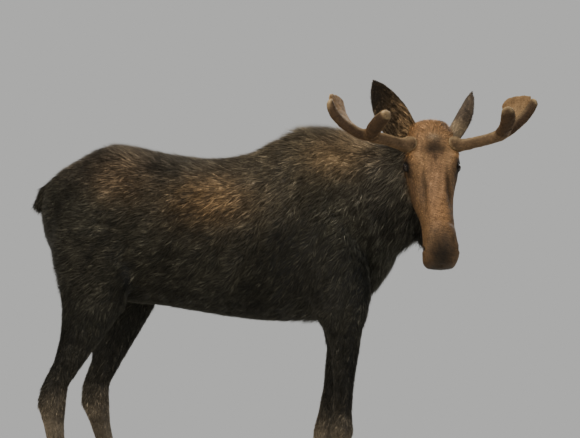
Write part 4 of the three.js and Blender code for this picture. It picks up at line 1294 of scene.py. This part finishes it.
def velvet_material():
    """The furry skin of growing antlers, left soft: no gloss but a warm glow at its edges, and faint veins.

    The fuzz is drawn 1.6 mm wide, where the true fuzz is about 0.1 mm, so that it shows from afar.
    """
    material, tree = new_material("antler velvet")
    marks = node(tree, "ShaderNodeAttribute", attribute_name="coat_colour").outputs
    fuzz = grain(tree, 1.6 * MM, detail=5)
    veins = grain(tree, 9 * MM, detail=3, stretch=(0.25, 0.6, 1))
    colour = marks["Color"]
    # The fuzz is paler towards its tips: pale tips, and a painted glow round the edges where the fuzz stands
    # out.
    gains = [span(veins, 1.08, 0.9, *HALF), span(marks["Alpha"], 1, 1.5, 0.2), span(fuzz, 0.6, 1.3, *MOST)]
    for inputs in gains:
        gain = node(tree, "ShaderNodeMapRange", inputs).outputs["Result"]
        colour = node(tree, "ShaderNodeMix", {0: 1, 6: colour, 7: gain}, **MULTIPLY).outputs[2]
    bump = node(tree, "ShaderNodeBump", {"Height": fuzz, "Distance": 1 * MM, "Strength": 0.8})
    inputs = {"Base Color": colour, "Normal": bump.outputs["Normal"], "Specular IOR Level": 0.1}
    inputs["Roughness"] = node(tree, "ShaderNodeMapRange", span(fuzz, 0.6, 0.85)).outputs["Result"]
    inputs |= {"Sheen Weight": 0.28, "Sheen Roughness": 0.3, "Sheen Tint": rgba("#d0a878")}
    finish_material(tree, inputs)
    return material


def horn_material():
    """Horn, grown in rings and worn by the ground: dark bands with upright fibres, and a low gloss.

    The fibres are drawn 1.5 mm wide, where true ones are about 0.2 mm, so that they show from afar.
    """
    material, tree = new_material("hoof horn")
    rings = grain(tree, 6 * MM, detail=3, stretch=(0.2, 0.2, 1))
    fibres = grain(tree, 1.5 * MM, detail=4, stretch=(1, 1, 0.1))
    share = node(tree, "ShaderNodeMapRange", span(rings, 0, 1, *HALF)).outputs["Result"]
    colour = node(tree, "ShaderNodeMix", {0: share, 6: rgba("#1a1713"), 7: rgba("#3a3229")}, **MIX)
    bump = node(tree, "ShaderNodeBump", {"Height": fibres, "Distance": 0.4 * MM, "Strength": 0.6})
    inputs = {"Base Color": colour.outputs[2], "Normal": bump.outputs["Normal"]}
    inputs["Roughness"] = node(tree, "ShaderNodeMapRange", span(fibres, 0.35, 0.6)).outputs["Result"]
    finish_material(tree, inputs)
    return material


def eye_material():
    """The wet front of an eyeball, kept smooth by tears: dark and clear, with a small sharp highlight."""
    material, tree = new_material("moist eyeball")
    marks = node(tree, "ShaderNodeAttribute", attribute_name="coat_colour").outputs
    film = grain(tree, 4 * MM, detail=2)
    inputs = {"Base Color": marks["Color"], "IOR": 1.376, "Specular IOR Level": 0.25}
    inputs["Roughness"] = node(tree, "ShaderNodeMapRange", span(film, 0.08, 0.16)).outputs["Result"]
    inputs |= {"Coat Weight": 0.12, "Coat Roughness": 0.03}
    finish_material(tree, inputs)
    return material


def floor_material():
    """Painted board, rolled on and dried matt: an even pale ground with faint 20 mm mottling."""
    material, tree = new_material("pale matte floor")
    speckle = grain(tree, 20 * MM, detail=4)
    colour = node(tree, "ShaderNodeMix", {0: speckle, 6: rgba("#c9c7c1"), 7: rgba("#d3d1cb")}, **MIX)
    roughness = node(tree, "ShaderNodeMapRange", span(speckle, 0.75, 0.9)).outputs["Result"]
    finish_material(tree, {"Base Color": colour.outputs[2], "Roughness": roughness})
    return material


# ---- camera, light and floor ----
VIEW = {"azimuth": math.radians(12), "distance": 30, "across": 0.0395, "level": 1.434, "width": 2.468}
SENSOR = 36
LAMPS = [
    # name, place, size, power, colour
    ("overhead", (-0.6, -1.5, 6.5), 5.0, 400, "#fff6ea"),
    ("key", (-4.5, -6.0, 5.0), 4.0, 660, "#fff3e2"),
    ("fill", (5.5, -5.0, 2.8), 4.0, 260, "#eef4ff"),
    ("rim", (1.5, 6.0, 5.0), 4.0, 420, "#ffffff"),
]
AIM = Vector((0, 0, 1.3))  # where the lamps point
ROOM = {"name": "pale room", "colour": "#d6d6d4", "strength": 0.75}
FLOOR = {"radius": 14, "sides": 96, "thickness": 0.02, "rim": 0.01}


def add_camera():
    camera = add_object("camera", bpy.data.cameras.new("camera"))
    right = Vector((math.cos(VIEW["azimuth"]), math.sin(VIEW["azimuth"]), 0))
    back = Vector((right.y, -right.x, 0))
    camera.location = right * VIEW["across"] + Vector((0, 0, VIEW["level"])) + back * VIEW["distance"]
    camera.rotation_euler = (math.pi / 2, 0, VIEW["azimuth"])
    camera.data.sensor_width = SENSOR
    camera.data.lens = SENSOR * VIEW["distance"] / VIEW["width"]
    camera.data.clip_end = 4 * VIEW["distance"]
    bpy.context.scene.camera = camera


def add_lights():
    for name, place, size, power, colour in LAMPS:
        lamp = bpy.data.lights.new(name, "AREA")
        lamp.shape = "DISK"
        lamp.size = size
        lamp.energy = power
        lamp.color = linear(colour)
        holder = add_object(name, lamp)
        holder.location = place
        holder.rotation_euler = (AIM - Vector(place)).to_track_quat("-Z", "Y").to_euler()
    world = bpy.data.worlds.new(ROOM["name"])
    world.use_nodes = True
    background = world.node_tree.nodes["Background"]
    background.inputs["Color"].default_value = rgba(ROOM["colour"])
    background.inputs["Strength"].default_value = ROOM["strength"]
    bpy.context.scene.world = world


def add_floor():
    """A wide round slab with a rolled edge, its top at the ground."""
    work = bmesh.new()
    sizes = {"radius1": FLOOR["radius"], "radius2": FLOOR["radius"], "depth": FLOOR["thickness"]}
    bmesh.ops.create_cone(work, cap_ends=True, segments=FLOOR["sides"], **sizes)
    bmesh.ops.translate(work, verts=work.verts, vec=(0, 0, -FLOOR["thickness"] / 2))
    mesh = bpy.data.meshes.new("floor")
    work.to_mesh(mesh)
    work.free()
    floor = add_object("floor", mesh)
    bevel = floor.modifiers.new("rolled edge", "BEVEL")
    bevel.width = FLOOR["rim"]
    bevel.segments = 3
    floor.data.materials.append(floor_material())


# ---- the whole ----
COAT_FINISH = {"coat_face": "face", "coat_ears": "ears", "coat_lower_legs": "legs"}


def dress(obj, material, slot):
    obj.data.materials.clear()
    obj.data.materials.append(material)
    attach(obj, "root")


def build_moose(frame, rng):
    """Builds every piece of the model, each with its material."""
    head = HeadFrame()
    skin, lid_start = build_skin(frame, head)
    coats = grow_coats(skin, lid_start, head, frame, rng)
    dress(skin, skin_material(), "coat")
    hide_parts(*FLESH)
    hair = {
        "body": (hair_material("long guard hair", 2.9, 0.0), "coat"),
        "face": (hair_material("short face hair", 1.35, 0.0), "face_coat"),
        "ears": (hair_material("soft ear hair", 1.6, 0.03), "face_coat"),
        "legs": (hair_material("pale leg hair", 1.5, 0.02), "leg_coat"),
    }
    for coat in coats:
        dress(coat, *hair[COAT_FINISH.get(coat.name, "body")])
    velvet, horn, eye = velvet_material(), horn_material(), eye_material()
    for side in SIDES:
        for piece in build_antler(side, frame, head, rng):
            dress(piece, velvet, "velvet")
        dress(build_eye(side, head), eye, "eye")
    for leg in LEGS:
        dress(build_foot(leg, frame), horn, "horn")


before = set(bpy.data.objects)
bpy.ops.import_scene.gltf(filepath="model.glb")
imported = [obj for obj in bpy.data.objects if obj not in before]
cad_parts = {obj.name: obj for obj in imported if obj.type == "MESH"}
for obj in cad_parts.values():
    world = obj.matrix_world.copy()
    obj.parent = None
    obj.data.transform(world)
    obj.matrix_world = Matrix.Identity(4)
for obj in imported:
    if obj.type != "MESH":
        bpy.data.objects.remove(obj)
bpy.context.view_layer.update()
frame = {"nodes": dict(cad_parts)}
add_camera()
build_moose(frame, np.random.default_rng(SEED))
add_floor()
add_lights()
